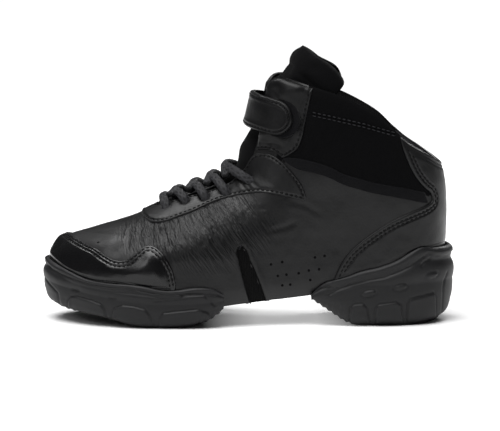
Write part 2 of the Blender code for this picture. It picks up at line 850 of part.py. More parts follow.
COUNTER_TOP = [(0.858, 0.682), (0.888, 0.646), (0.920, 0.617), (0.957, 0.578)]
FLAP_FRONT = [(0.519, 0.628), (0.527, 0.680), (0.534, 0.745), (0.540, 0.810), (0.546, 0.856)]
FLAP_TOP = [(0.546, 0.856), (0.558, 0.880), (0.575, 0.888), (0.600, 0.879), (0.630, 0.865), (0.652, 0.854)]
FLAP_BACK = [(0.580, 0.604), (0.597, 0.618), (0.614, 0.637), (0.625, 0.670), (0.634, 0.732), (0.642, 0.790), (0.652, 0.854)]
FLAP_FOOT = [(0.519, 0.628), (0.543, 0.632), (0.561, 0.625), (0.580, 0.604)]
BINDING_TOP = [
    (0.618, 0.604),
    (0.645, 0.596),
    (0.685, 0.578),
    (0.726, 0.549),
    (0.759, 0.534),
    (0.792, 0.520),
    (0.825, 0.510),
    (0.870, 0.498),
    (0.906, 0.484),
]
BINDING_WIDTH = 0.0070
GUSSET_FRONT = [(0.503, 0.084), (0.487, 0.179), (0.478, 0.237), (0.473, 0.280), (0.476, 0.290)]
GUSSET_BACK = [(0.542, 0.090), (0.522, 0.178), (0.503, 0.244), (0.490, 0.286), (0.484, 0.292)]
PATCH_RADIUS = 0.0138
PATCH_SHIFT = 0.0015
PATCH_START = 0.016
STRAP_END = (0.567, 0.748)  # middle of the strap's round end
STRAP_FALL = math.radians(12)
STRAP_LEAVES = 0.013  # behind the shin line, where the strap leaves the flap
STRAP_SEAT = 0.030  # behind the shin line, where the strap is sewn to the inner flap
EYELETS = (0.300, 0.344, 0.388, 0.431, 0.464)  # places along the ridge
EYELET_INSET = 0.0052  # from the throat's edge
LACE_LOW = 0.0003
LACE_STEP = 0.016  # share of the length by which a run starts above its row


def strip(name, left, right, lower, upper, columns, rows, material, side=None):
    """An overlay on one side, or on both sides joined at the ridge when side is None."""
    joined = side is None
    bunch = JOINED_BUNCH if joined else 1.0
    along, across = np.linspace(0, 1, columns) ** bunch, np.linspace(0, 1, rows)
    grid = blended(line(left, across), line(right, across), line(lower, along), line(upper, along), bunch)
    grids = []
    for each in (-1, 1) if joined else (side,):
        grids.append([[side_point(x, z, each, joined and k == 0) for k, (x, z) in enumerate(row)] for row in grid])
    return sheet_object(name, grids, material, LEATHER, under=FORM)


def build_toe_cap(material):
    front = [(float(x_place(front_x(h * HEIGHT))), h) for h in (0.212, 0.240, 0.267, 0.290)] + [CAP_TOP[0]]
    front[0] = CAP_FOOT[0]
    tail = [CAP_FOOT[-1], (0.328, 0.150), CAP_TOP[-1]]
    return strip("toe_cap", front, tail, CAP_FOOT, CAP_TOP, 17, 5, material)


def build_eyestay(material):
    """Both sides joined round the front of the throat, with a pointed tail on each side."""
    places = THROAT_FRONT - 0.002 + (THROAT_TOP - THROAT_FRONT + 0.002) * np.linspace(0, 1, 9) ** 1.2
    inner = [throat_edge(place) for place in places]
    inner = [(float(x_place(x)), float(z) / HEIGHT) for x, z in inner]
    upper = inner + EYESTAY_TAIL
    front = [EYESTAY_FOOT[0], (0.262, 0.406), inner[0]]
    tail = [EYESTAY_FOOT[-1], (0.636, 0.460), EYESTAY_TAIL[-1]]
    return strip("eyestay", front, tail, EYESTAY_FOOT, upper, 20, 5, material)


def build_heel_counter(material):
    """The rear panel from the sole to the collar, both sides joined at the back."""
    heights = np.linspace(COUNTER_FOOT[-1][1], COUNTER_TOP[-1][1], 9)
    back = [(float(x_place(back_x(h * HEIGHT))), h) for h in heights]
    return strip("heel_counter", back, COUNTER_FRONT, COUNTER_FOOT[::-1], COUNTER_TOP[::-1], 8, 10, material)


def build_side_panels(leather_material, suede_material):
    """Ankle flap and the band under the suede collar, on each side."""
    low = [(place, height - BINDING_WIDTH / HEIGHT) for place, height in BINDING_TOP]
    ends = [[low[k], BINDING_TOP[k]] for k in (0, -1)]
    for side, word in ((-1, "outer"), (1, "inner")):
        name = "ankle_flap_" + word
        strip(name, FLAP_FRONT, FLAP_BACK, FLAP_FOOT, FLAP_TOP, 7, 8, leather_material, side)
        strip("collar_band_" + word, *ends, low, BINDING_TOP, 14, 3, suede_material, side)


def build_gusset(material):
    """One elastic strip in its slots: up the outer side, up the inner side, and joined under the arch."""
    shares = np.linspace(0, 1, 7)
    front, back = line(GUSSET_FRONT, shares), line(GUSSET_BACK, shares)
    grids = []
    for side in (-1, 1):
        points = []
        for ahead, behind in zip(front, back):
            points.append([side_point(*(ahead * (1 - t) + behind * t), side) for t in (0, 0.5, 1)])
        under = []
        for share in (1.0, 0.5):
            row = []
            for point in points[0]:
                spine = Vector((point.x, float(middle_y(point.x, point.z)), float(bed_z(point.x))))
                row.append(point.lerp(spine, share))
                row[-1].z = float(bed_z(point.x))
            under.append(row)
        grids.append(under + points)
    sheet_object("stretch_gusset", grids, material, ELASTIC, under=FORM)


def strap_frame():
    """The strap's plane: a point on the shin line, the way back along the strap and the way up across it."""
    back = Vector((math.cos(STRAP_FALL), 0, -math.sin(STRAP_FALL)))
    up = Vector((math.sin(STRAP_FALL), 0, math.cos(STRAP_FALL)))
    return back, up


def surface_across(x, z, side, lift):
    """A point on the form lifted off it along its own normal."""
    step = 0.0006
    here = side_point(x, z, side)
    along = side_point(x + step, z, side) - here
    over = side_point(x, z + step, side) - here
    normal = along.cross(over).normalized()
    if normal.y * side < 0:
        normal = -normal
    return here + normal * lift


def strap_section(across):
    """The strap's line at a distance across it: where its plane meets the shin, and how far back it lies."""
    back, up = strap_frame()
    end = Vector((float(place_x(STRAP_END[0])), 0, STRAP_END[1] * HEIGHT)) + up * across
    steps = np.linspace(0, 0.08, 400)
    x, z = end.x - back.x * steps, end.z - back.z * steps
    meet = int(np.argmax(x < np.interp(z, RIDGE_Z, RIDGE_X)))
    return end - back * float(steps[meet]), back, float(steps[meet])


def strap_sheet(across, start, stop, lift, columns):
    """Points of one line of the strap, lying on the form from start to stop behind the shin on one side."""
    origin, back, _ = strap_section(across)
    return [surface_across(*(origin + back * t).xz, -1, lift) for t in np.linspace(start, stop, columns)]


def strap_line(across, radius, lift):
    """One line of the whole strap: inner end, inner side, loop ahead of the shin, outer side, round end."""
    origin, back, reach = strap_section(across)
    tip = reach + math.sqrt(max(radius**2 - across**2, 0.0))
    sides = {}
    for side, stop, count in ((1, STRAP_SEAT, 4), (-1, tip, 7)):
        steps = STRAP_LEAVES + (stop - STRAP_LEAVES) * np.linspace(0, 1, count)
        sides[side] = [surface_across(*(origin + back * t).xz, side, lift) for t in steps]
    ahead = origin - back * STRAP_LOOP
    loop = []
    for side in (1, -1):
        leave, after = sides[side][0], sides[side][1]
        heading = (leave - after).normalized() * (leave - ahead).length * 1.1
        crest = Vector((0, side, 0)) * (leave - ahead).length * 1.1
        arc = []
        for t in np.linspace(0, 1, 6)[1:]:
            a, b = 2 * t**3 - 3 * t**2 + 1, t**3 - 2 * t**2 + t
            c, d = 3 * t**2 - 2 * t**3, t**3 - t**2
            arc.append(leave * a + heading * b + ahead * c - crest * d)
        loop.append(arc)
    return sides[1][::-1] + loop[0] + loop[1][:-1][::-1] + sides[-1]


def build_strap(material):
    """A strap round the front of the shaft: fixed on the inner flap, closed on the outer one, looped ahead."""
    radius = STRAP_WIDTH / 2
    lift = CURVE_CLEARANCE * 3 + LEATHER * 2
    turns = np.sin(np.linspace(-1, 1, 7) * math.pi / 2)
    lines = [strap_line(radius * turn, radius, lift) for turn in turns]
    sheet_object("ankle_strap", [lines], material, STRAP_THICKNESS)


def build_patch(material):
    """The loop patch on the outer flap that the strap's end closes on."""
    lift = CURVE_CLEARANCE * 2 + LEATHER
    lines = []
    for turn in np.sin(np.linspace(-1, 1, 7) * math.pi / 2):
        across = PATCH_RADIUS * turn
        _, _, reach = strap_section(across)
        stop = reach + PATCH_SHIFT + math.sqrt(max(PATCH_RADIUS**2 - across**2, 0.0))
        lines.append(strap_sheet(across, PATCH_START, stop, lift, 7))
    sheet_object("strap_patch", [lines], material, LEATHER)


def instep(place, across, lift):
    """A point over the instep: its distance from the middle line and its height over the form."""
    x, z = ridge_at(place)
    shape = smooth(LAST["place"], LAST["top_round"], place) * HEIGHT
    points = []
    for y in (across, across + math.copysign(0.0005, across)):
        drop = unrounded(abs(y) / full_width(x, z)) * shape
        px = float(x + drop * np.interp(x, RIDGE_X, RIDGE_NX))
        pz = float(z + drop * np.interp(x, RIDGE_X, RIDGE_NZ))
        points.append(Vector((px, float(middle_y(px, pz)) + y, pz)))
    slope = points[1] - points[0]
    outward = Vector((-np.interp(x, RIDGE_X, RIDGE_NX), 0, -np.interp(x, RIDGE_X, RIDGE_NZ)))
    along = Vector((outward.z, 0, -outward.x))
    normal = slope.cross(along).normalized()
    if normal.dot(outward) < 0:
        normal = -normal
    return points[0] + normal * lift


def cord_mesh(name, points, material):
    """A round cord through points, as a closed mesh."""
    curve = bpy.data.curves.new(name, "CURVE")
    curve.dimensions = "3D"
    curve.bevel_depth = LACE / 2
    curve.bevel_resolution = 2
    curve.use_fill_caps = True
    spline = curve.splines.new("POLY")
    spline.points.add(len(points) - 1)
    for point, place in zip(spline.points, points):
        point.co = (*place, 1)
    temp = bpy.data.objects.new(name, curve)
    PARTS.objects.link(temp)
    bpy.context.view_layer.update()
    mesh = bpy.data.meshes.new_from_object(temp.evaluated_get(bpy.context.evaluated_depsgraph_get()))
    bpy.data.objects.remove(temp, do_unlink=True)
    bm = bmesh.new()
    bm.from_mesh(mesh)
    bmesh.ops.remove_doubles(bm, verts=bm.verts, dist=1e-6)
    bmesh.ops.recalc_face_normals(bm, faces=bm.faces)
    bm.to_mesh(mesh)
    bm.free()
    mesh.name = name
    mesh.materials.clear()
    mesh.materials.append(material)
    mesh.shade_smooth()
    obj = bpy.data.objects.new(name, mesh)
    PARTS.objects.link(obj)
    return obj


def lace_run(first, last, side, rise, under):
    """One run of the lace from inside the throat at a row, over the middle, to the eyelet of the next row."""
    here, there = EYELETS[first], EYELETS[last]
    over = CLEARANCE * 2 + LEATHER + LACE / 2
    start = throat_half_gap(place_x(here)) - LACE * 0.75
    stop = throat_half_gap(place_x(there)) + EYELET_INSET
    lifts = ((0.0, rise), (0.30, rise), (0.52, (rise + over) / 2 + 0.0010), (0.72, over + 0.0006), (1.0, over))
    points = []
    for t in np.linspace(0, 1, 8):
        y = side * (start + (-stop - start) * t)
        lift = smooth([a for a, _ in lifts], [b for _, b in lifts], t)
        place = here + LACE_STEP + (there - here - LACE_STEP) * t
        if abs(y) < 1e-5:
            y = 1e-5
        points.append(cleared(instep(place, y, float(lift)), under))
    return points


def cleared(point, under):
    """A point of the lace, moved off the surface under it until the cord clears it."""
    near, _, _, distance = under[1].find_nearest(point)
    need = LACE / 2 + CLEARANCE * 3
    return near + (point - near).normalized() * need if distance < need else point


def build_laces(material, under):
    """A bar at the first eyelets and four crossings, each one joined solid."""
    over = CLEARANCE * 2 + LEATHER + LACE / 2
    stop = throat_half_gap(place_x(EYELETS[0])) + EYELET_INSET
    bar = [cleared(instep(EYELETS[0], y, over), under) for y in np.linspace(-stop, stop, 8)]
    cord_mesh("lace_bar", bar, material)
    for row in range(len(EYELETS) - 1):
        low = lace_run(row, row + 1, 1, LACE_LOW, under)
        high = lace_run(row, row + 1, -1, LACE_LOW + LACE * 0.8, under)
        lower = cord_mesh("lace_cross_%d" % (row + 1), low, material)
        upper = cord_mesh("lace_over_%d" % (row + 1), high, material)
        upper.hide_render = True
        upper.display_type = "WIRE"
        join = lower.modifiers.new("Crossing", "BOOLEAN")
        join.operation = "UNION"
        join.object = upper


def leather(name, colour, roughness):
    material = bpy.data.materials.new(name)
    material.use_nodes = True
    shader = material.node_tree.nodes["Principled BSDF"]
    shader.inputs["Base Color"].default_value = (*colour, 1)
    shader.inputs["Roughness"].default_value = roughness
    return material


for old in list(bpy.data.objects):
    bpy.data.objects.remove(old, do_unlink=True)
PARTS = bpy.data.collections.new("Dance sneaker")
bpy.context.scene.collection.children.link(PARTS)

GRAIN = leather("Full-grain leather", (0.012, 0.012, 0.013), 0.35)
SUEDE = leather("Suede", (0.010, 0.010, 0.011), 0.9)
RUBBER = leather("Moulded rubber", (0.030, 0.031, 0.032), 0.55)
KNIT = leather("Knit elastic", (0.012, 0.012, 0.012), 0.8)
CORD = leather("Polyester cord", (0.014, 0.014, 0.015), 0.6)

UPPER = build_upper(GRAIN)
FORM = surface_of(UPPER)
CAP = build_toe_cap(GRAIN)
STAY = build_eyestay(GRAIN)
COUNTER = build_heel_counter(GRAIN)
build_side_panels(GRAIN, SUEDE)
build_gusset(KNIT)
FILLED = surface_of(UPPER, CAP, COUNTER)
FORE = build_sole("sole_forefoot", FOREFOOT, 0.0, 0.440, -1, RUBBER, FILLED)
add_relief(FORE, FOREFOOT, 0.0, 0.440, -1, FORE_BLOCKS, FORE_WRAP)
REAR = build_sole("sole_heel", HEEL, 1.0, 0.650, 1, RUBBER, FILLED)
add_relief(REAR, HEEL, 1.0, 0.650, 1, HEEL_BLOCKS, HEEL_WRAP)
build_insole(KNIT)
build_tongue(SUEDE)
build_strap(GRAIN)
build_patch(SUEDE)
build_laces(CORD, surface_of(UPPER, STAY))
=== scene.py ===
"""The looks of the high-top split-sole dance sneaker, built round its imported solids.

Left foot, toe along -X, outer side along -Y, up along +Z, in metres.
"""

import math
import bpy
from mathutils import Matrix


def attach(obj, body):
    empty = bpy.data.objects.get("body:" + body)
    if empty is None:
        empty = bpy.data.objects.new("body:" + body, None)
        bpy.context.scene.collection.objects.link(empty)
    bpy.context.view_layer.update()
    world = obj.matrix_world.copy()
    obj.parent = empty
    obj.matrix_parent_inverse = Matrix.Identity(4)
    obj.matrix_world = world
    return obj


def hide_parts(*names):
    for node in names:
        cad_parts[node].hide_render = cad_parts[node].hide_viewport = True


bl_info = {
    "name": "Dance Sneaker",
    "version": (1, 0, 0),
    "blender": (4, 5, 0),
    "location": "View3D > Sidebar > Sneaker",
    "description": "Dresses the dance sneaker's frame in leather, suede, rubber and laces",
    "category": "Object",
}

import bmesh
import bpy
import numpy as np
from bpy.props import FloatProperty, FloatVectorProperty, PointerProperty
from bpy.types import Operator, Panel, PropertyGroup
from mathutils import Vector

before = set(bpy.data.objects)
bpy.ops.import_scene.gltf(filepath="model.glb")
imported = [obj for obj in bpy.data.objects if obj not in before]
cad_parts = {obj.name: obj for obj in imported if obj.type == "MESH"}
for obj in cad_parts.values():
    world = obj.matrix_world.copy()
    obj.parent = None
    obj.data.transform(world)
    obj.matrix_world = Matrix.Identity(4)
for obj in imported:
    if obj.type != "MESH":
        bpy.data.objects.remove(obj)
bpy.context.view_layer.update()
MM = 0.001
NEAR = 0.0006  # half the step over which the form's slope is taken
TINY = 1e-14  # keeps a vector of no length from dividing by zero

# The solids' own driving sizes, in metres.
LENGTH = 0.267
HEIGHT = 0.177
HEEL_BACK = 0.039
BALL_WIDTH = 0.096
SHAFT_WIDTH = 0.070
WALL = 0.0022
CLEARANCE = 0.0003
LEATHER = 0.0012
MARGIN = 0.009
TOE_ROUND = 0.056
HEEL_ROUND = 0.036
ROUND_POWER = 2.15
FEATHER_TUCK = 0.10
FEATHER_HEIGHT = 0.011
TOE_SPINE = 0.044
HEEL_SPINE = 0.034
THROAT_GAP = 0.011
THROAT_ROUND = 0.009
THROAT_GROWTH = 0.17
TONGUE_LINING = 0.0052
TONGUE_TOP_PAD = 0.0085
STRAP_WIDTH = 0.0224
STRAP_THICKNESS = 0.0026
STRAP_LOOP = 0.0010
LACE = 0.0046
CURVE_CLEARANCE = 0.0005


def place_x(place):
    """X of a share of the length, 0 at the toe and 1 at the heel."""
    return (np.asarray(place) - 1.0) * LENGTH + HEEL_BACK


def x_place(x):
    """The share of the length at an X."""
    return (x - HEEL_BACK) / LENGTH + 1.0


def table(columns, rows):
    """A table's columns by name."""
    return dict(zip(columns.split(), np.array(rows, float).T))


def smooth(knots, values, at):
    """A smooth line through a table's rows."""
    knots = np.asarray(knots, float)
    values = np.asarray(values, float)
    at = np.clip(at, knots[0], knots[-1])
    slope = np.gradient(values, knots)
    k = np.clip(np.searchsorted(knots, at, side="right") - 1, 0, len(knots) - 2)
    span = knots[k + 1] - knots[k]
    t = (at - knots[k]) / span
    a = values[k] * (1 + 2 * t) * (1 - t) ** 2 + slope[k] * span * t * (1 - t) ** 2
    return a + values[k + 1] * t * t * (3 - 2 * t) + slope[k + 1] * span * t * t * (t - 1)


def ease(t):
    t = np.clip(t, 0.0, 1.0)
    return t * t * (3 - 2 * t)


def rounded(t):
    """0 at a silhouette, rising like a quarter of a superellipse to 1."""
    t = np.clip(t, 0.0, 1.0)
    return (1 - (1 - t) ** ROUND_POWER) ** (1 / ROUND_POWER)


def unrounded(f):
    """The t at which rounded(t) is f."""
    f = np.clip(f, 0.0, 1.0)
    return 1 - (1 - f**ROUND_POWER) ** (1 / ROUND_POWER)


def quarter(t):
    """A quarter of a circle: 0 at 0, steep at first, level at 1 and past it."""
    return np.sqrt(1 - (1 - np.clip(t, 0.0, 1.0)) ** 2)


def bell(value, middle, width):
    """1 in the middle, falling off on both sides."""
    return np.exp(-(((value - middle) / width) ** 2))


def step(value, start, width):
    """0 before start, 1 past start and width, smooth between."""
    return ease((value - start) / width)


def metres(rows, shift=0.0):
    """Side-view points in millimetres as points in metres, shifted along X."""
    return [(a * MM + shift, b * MM) for a, b in rows]


def unit(vectors):
    return vectors / np.maximum(np.linalg.norm(vectors, axis=-1, keepdims=True), TINY)


# The last. place: share of the length. half: half width as a share of the ball width. middle: the centre line's
# shift to the inner side, as a share of the ball width. bed: underside, top_round: depth of the rounding under the
# ridge, both as shares of the height.
LAST = table(
    "place half middle bed top_round",
    [
        (0.00, 0.400, 0.075, 0.128, 0.170),
        (0.06, 0.430, 0.070, 0.106, 0.172),
        (0.12, 0.458, 0.060, 0.089, 0.178),
        (0.20, 0.487, 0.045, 0.073, 0.190),
        (0.28, 0.500, 0.028, 0.065, 0.205),
        (0.36, 0.490, 0.010, 0.067, 0.225),
        (0.44, 0.455, -0.004, 0.076, 0.250),
        (0.52, 0.410, -0.010, 0.089, 0.262),
        (0.60, 0.375, -0.010, 0.102, 0.262),
        (0.70, 0.355, -0.005, 0.116, 0.262),
        (0.85, 0.350, 0.000, 0.128, 0.262),
        (1.00, 0.345, 0.000, 0.135, 0.262),
    ],
)
# The front of the upper and its back, as places for each height.
FRONT = table(
    "height place",
    [
        (0.11, 0.040),
        (0.135, 0.029),
        (0.17, 0.021),
        (0.20, 0.019),
        (0.24, 0.021),
        (0.267, 0.029),
        (0.290, 0.040),
        (0.302, 0.052),
        (0.320, 0.080),
    ],
)
BACK = table(
    "height place",
    [
        (0.13, 0.956),
        (0.17, 0.965),
        (0.22, 0.970),
        (0.28, 0.972),
        (0.36, 0.973),
        (0.43, 0.974),
        (0.49, 0.971),
        (0.55, 0.965),
        (0.60, 0.957),
        (0.70, 0.946),
        (0.90, 0.930),
    ],
)
# The line where both sides of the form would meet: vamp, instep and shin.
RIDGE = table(
    "place height",
    [
        (0.052, 0.302),
        (0.100, 0.323),
        (0.134, 0.338),
        (0.175, 0.356),
        (0.209, 0.372),
        (0.240, 0.390),
        (0.286, 0.422),
        (0.352, 0.464),
        (0.416, 0.507),
        (0.455, 0.548),
        (0.475, 0.592),
        (0.487, 0.640),
        (0.498, 0.703),
        (0.510, 0.776),
        (0.522, 0.850),
        (0.536, 0.925),
        (0.556, 1.010),
    ],
)
# The edge of the upper from the top of the throat over the flap and round the collar.
COLLAR = table(
    "place height",
    [
        (0.514, 0.617),
        (0.523, 0.670),
        (0.531, 0.740),
        (0.538, 0.810),
        (0.544, 0.862),
        (0.557, 0.886),
        (0.575, 0.893),
        (0.600, 0.884),
        (0.630, 0.870),
        (0.658, 0.857),
        (0.724, 0.823),
        (0.775, 0.785),
        (0.818, 0.744),
        (0.855, 0.693),
        (0.888, 0.654),
        (0.920, 0.625),
        (0.943, 0.602),
        (0.959, 0.584),
    ],
)
THROAT_FRONT = 0.281
THROAT_TOP = 0.470
# Columns of the upper: which place under the foot each part of its upper edge stands over.
FAN = table(
    "column foot",
    [
        (0.00, 0.026),
        (0.08, 0.075),
        (0.18, 0.170),
        (0.30, 0.300),
        (0.42, 0.430),
        (0.52, 0.540),
        (0.60, 0.640),
        (0.70, 0.730),
        (0.80, 0.810),
        (0.90, 0.895),
        (0.96, 0.945),
        (1.00, 0.960),
    ],
)
COLUMN_THROAT = 0.28
COLUMN_FLAP = 0.56
LINK = 0.03  # columns between the throat's top and the flap

# The two soles. bottom: tread line. lip: top of the side wall. flare: how far the side stands out from the
# upper, as a share of the ball width. seat: 1 where an overlay lies between lip and upper.
FOREFOOT = table(
    "place bottom lip flare seat",
    [
        (0.000, 0.058, 0.226, 0.054, 1),
        (0.030, 0.048, 0.207, 0.050, 1),
        (0.060, 0.042, 0.190, 0.038, 1),
        (0.100, 0.035, 0.170, 0.042, 1),
        (0.160, 0.020, 0.160, 0.044, 1),
        (0.205, 0.004, 0.158, 0.046, 1),
        (0.235, 0.000, 0.154, 0.046, 1),
        (0.300, 0.000, 0.138, 0.046, 1),
        (0.325, 0.002, 0.140, 0.044, 1),
        (0.345, 0.005, 0.145, 0.042, 0),
        (0.370, 0.010, 0.149, 0.040, 0),
        (0.400, 0.022, 0.147, 0.036, 0),
        (0.425, 0.044, 0.137, 0.030, 0),
        (0.440, 0.062, 0.124, 0.022, 0),
    ],
)
HEEL = table(
    "place bottom lip flare seat",
    [
        (0.650, 0.094, 0.116, 0.020, 0),
        (0.668, 0.078, 0.141, 0.028, 0),
        (0.690, 0.058, 0.160, 0.034, 0),
        (0.712, 0.038, 0.168, 0.040, 1),
        (0.745, 0.010, 0.181, 0.046, 1),
        (0.775, 0.000, 0.197, 0.048, 1),
        (0.830, 0.000, 0.216, 0.050, 1),
        (0.870, 0.000, 0.238, 0.050, 1),
        (0.905, 0.000, 0.267, 0.048, 1),
        (0.930, 0.000, 0.283, 0.046, 1),
        (0.960, 0.002, 0.279, 0.060, 1),
        (1.000, 0.006, 0.276, 0.080, 1),
    ],
)
# One side of a sole, from the tread up and over the lip. rise: share of the way from tread to lip.
# out: share of the flare.
SOLE_SIDE = table(
    "rise out",
    [
        (0.00, -1.90),
        (0.00, -0.30),
        (0.07, 0.30),
        (0.30, 0.95),
        (0.55, 1.08),
        (0.76, 0.88),
        (0.84, 0.62),
        (0.93, 0.80),
        (1.00, 0.62),
    ],
)


def ridge_line():
    """The ridge as a fine line in the side view, with its inward normals."""
    place = np.linspace(RIDGE["place"][0], RIDGE["place"][-1], 500)
    x = place_x(place)
    z = smooth(RIDGE["place"], RIDGE["height"], place) * HEIGHT
    run, climb = np.gradient(x), np.gradient(z)
    size = np.hypot(run, climb)
    return x, z, climb / size, -run / size


RIDGE_X, RIDGE_Z, RIDGE_NX, RIDGE_NZ = ridge_line()


def bed_z(x):
    return smooth(LAST["place"], LAST["bed"], x_place(x)) * HEIGHT


def middle_y(x, z):
    """The centre line: it bends inward at the toe and is straight in the shaft."""
    fade = 1 - ease((z / HEIGHT - 0.40) / 0.30)
    return smooth(LAST["place"], LAST["middle"], x_place(x)) * BALL_WIDTH * fade


def front_x(z):
    return place_x(smooth(FRONT["height"], FRONT["place"], z / HEIGHT))


def back_x(z):
    return place_x(smooth(BACK["height"], BACK["place"], z / HEIGHT))


def full_width(x, z):
    """Half width before the form rounds off towards its silhouette."""
    place, height = x_place(x), z / HEIGHT
    foot = smooth(LAST["place"], LAST["half"], place) * BALL_WIDTH
    shaft = SHAFT_WIDTH / 2
    climb = ease((height - 0.24) / 0.36)
    low = np.clip((z - bed_z(x)) / FEATHER_HEIGHT, 0.0, 1.0)
    return (foot * (1 - climb) + shaft * climb) * (1 - FEATHER_TUCK * (1 - low) ** 2)


def half_width(x, z):
    """The upper's outer surface: its half width at a point of the side view."""
    x, z = np.broadcast_arrays(np.asarray(x, float), np.asarray(z, float))
    near = np.hypot(x[..., None] - RIDGE_X, z[..., None] - RIDGE_Z).argmin(axis=-1)
    gap = np.abs((x - RIDGE_X[near]) * RIDGE_NX[near] + (z - RIDGE_Z[near]) * RIDGE_NZ[near])
    depth = smooth(LAST["place"], LAST["top_round"], x_place(x)) * HEIGHT
    wide = full_width(x, z) * rounded(gap / depth)
    return wide * rounded((x - front_x(z)) / TOE_ROUND) * rounded((back_x(z) - x) / HEEL_ROUND)


def throat_half_gap(x):
    """Half the width of the throat: round at its front, wider up the instep."""
    along = x - place_x(THROAT_FRONT)
    return THROAT_GAP * quarter(along / THROAT_ROUND) + THROAT_GROWTH * np.clip(along, 0.0, None)


def ridge_at(place):
    """The ridge's point in the side view at a share of the length."""
    x = place_x(place)
    return x, np.interp(x, RIDGE_X, RIDGE_Z)


def throat_edge(place):
    """The edge of the throat in the side view: the ridge lowered until the form is as wide as the gap."""
    x, z = ridge_at(place)
    share = throat_half_gap(x) / full_width(x, z)
    drop = unrounded(share) * smooth(LAST["place"], LAST["top_round"], place) * HEIGHT
    return x + drop * np.interp(x, RIDGE_X, RIDGE_NX), z + drop * np.interp(x, RIDGE_X, RIDGE_NZ)


def line(rows, shares):
    """Points at shares of the way along a smooth line through (place, height) rows, in metres."""
    rows = np.array(rows, float)
    x, z = place_x(rows[:, 0]), rows[:, 1] * HEIGHT
    run = np.concatenate([[0], np.cumsum(np.hypot(np.diff(x), np.diff(z)))])
    t = np.asarray(shares) * run[-1]
    return np.stack([smooth(run, x, t), smooth(run, z, t)], axis=1)


# The tongue. place, height: its outer middle line. half: half width as a share of the shaft's. wrap: how deep it
# curves back as a share of the shaft width. pad: thickness from 0, lining, to 1, padded top. sink: how far its
# middle lies under the form's ridge, as a share of the wall.
TONGUE = table(
    "place height half wrap pad sink",
    [
        (0.250, 0.398, 0.40, 0.030, 0.0, 2.6),
        (0.300, 0.432, 0.46, 0.050, 0.0, 2.2),
        (0.352, 0.464, 0.54, 0.100, 0.1, 1.7),
        (0.416, 0.507, 0.64, 0.190, 0.2, 1.5),
        (0.455, 0.548, 0.72, 0.320, 0.3, 1.2),
        (0.477, 0.592, 0.78, 0.450, 0.5, 0.6),
        (0.490, 0.630, 0.80, 0.580, 0.7, 0.0),
        (0.508, 0.700, 0.82, 0.580, 0.9, 0.0),
        (0.532, 0.773, 0.86, 0.550, 1.0, 0.0),
        (0.559, 0.846, 0.89, 0.520, 1.0, 0.0),
        (0.590, 0.919, 0.90, 0.500, 1.0, 0.0),
        (0.618, 0.975, 0.89, 0.490, 0.9, 0.0),
        (0.627, 0.996, 0.88, 0.490, 0.3, 0.3),
    ],
)


# Edges of the overlays on one side, as (place, height) rows, and of the strips.
CAP_TOP = [
    (0.064, 0.3075),
    (0.085, 0.296),
    (0.113, 0.283),
    (0.137, 0.272),
    (0.162, 0.253),
    (0.186, 0.240),
    (0.210, 0.243),
    (0.234, 0.267),
    (0.255, 0.290),
    (0.274, 0.293),
    (0.295, 0.273),
    (0.310, 0.242),
    (0.322, 0.205),
    (0.327, 0.172),
]
CAP_FOOT = [(0.019, 0.212), (0.060, 0.178), (0.120, 0.154), (0.200, 0.146), (0.260, 0.130), (0.325, 0.126)]
EYESTAY_FOOT = [
    (0.243, 0.3915),
    (0.252, 0.377),
    (0.271, 0.369),
    (0.299, 0.373),
    (0.331, 0.389),
    (0.369, 0.411),
    (0.407, 0.437),
    (0.447, 0.458),
    (0.488, 0.473),
    (0.515, 0.480),
    (0.555, 0.478),
    (0.595, 0.467),
    (0.632, 0.454),
]
EYESTAY_TAIL = [
    (0.517, 0.612),
    (0.543, 0.619),
    (0.559, 0.612),
    (0.580, 0.590),
    (0.606, 0.550),
    (0.628, 0.503),
    (0.637, 0.466),
]
COUNTER_FRONT = [
    (0.700, 0.152),
    (0.712, 0.205),
    (0.736, 0.262),
    (0.761, 0.298),
    (0.786, 0.327),
    (0.812, 0.354),
    (0.845, 0.383),
    (0.894, 0.414),
    (0.919, 0.429),
    (0.936, 0.447),
    (0.934, 0.470),
    (0.916, 0.497),
    (0.900, 0.525),
    (0.884, 0.564),
    (0.870, 0.612),
    (0.862, 0.650),
    (0.858, 0.682),
]
COUNTER_FOOT = [(0.700, 0.152), (0.745, 0.166), (0.830, 0.200), (0.905, 0.250), (0.975, 0.262)]
COUNTER_TOP = [(0.858, 0.682), (0.888, 0.646), (0.920, 0.617), (0.957, 0.578)]
FLAP_FRONT = [(0.519, 0.628), (0.527, 0.680), (0.534, 0.745), (0.540, 0.810), (0.546, 0.856)]
FLAP_TOP = [(0.546, 0.856), (0.558, 0.880), (0.575, 0.888), (0.600, 0.879), (0.630, 0.865), (0.652, 0.854)]
FLAP_BACK = [
    (0.580, 0.604),
    (0.597, 0.618),
    (0.614, 0.637),
    (0.625, 0.670),
    (0.634, 0.732),
    (0.642, 0.790),
    (0.652, 0.854),
]
FLAP_FOOT = [(0.519, 0.628), (0.543, 0.632), (0.561, 0.625), (0.580, 0.604)]
BINDING_TOP = [
    (0.618, 0.604),
    (0.645, 0.596),
    (0.685, 0.578),
    (0.726, 0.549),
    (0.759, 0.534),
    (0.792, 0.520),
    (0.825, 0.510),
    (0.870, 0.498),
    (0.906, 0.484),
]
BINDING_WIDTH = 0.0070
SUEDE_START = 0.60  # places where the collar's suede rim starts and ends
SUEDE_END = 0.862
SUEDE_HIDDEN = 0.0035  # how far the suede runs on under the band
COLLAR_PAD = 0.0034  # thickest padding in the collar
COLLAR_DROP = 0.0013  # how far its edge is rounded down
COLLAR_ROLL = 0.0024
PAINTED_LIT_HEIGHT = 0.014  # height of the leather strip in the lining behind the heel, which wears a pale grey as painted light
GUSSET_FRONT = [(0.503, 0.084), (0.487, 0.179), (0.478, 0.237), (0.473, 0.280), (0.476, 0.290)]
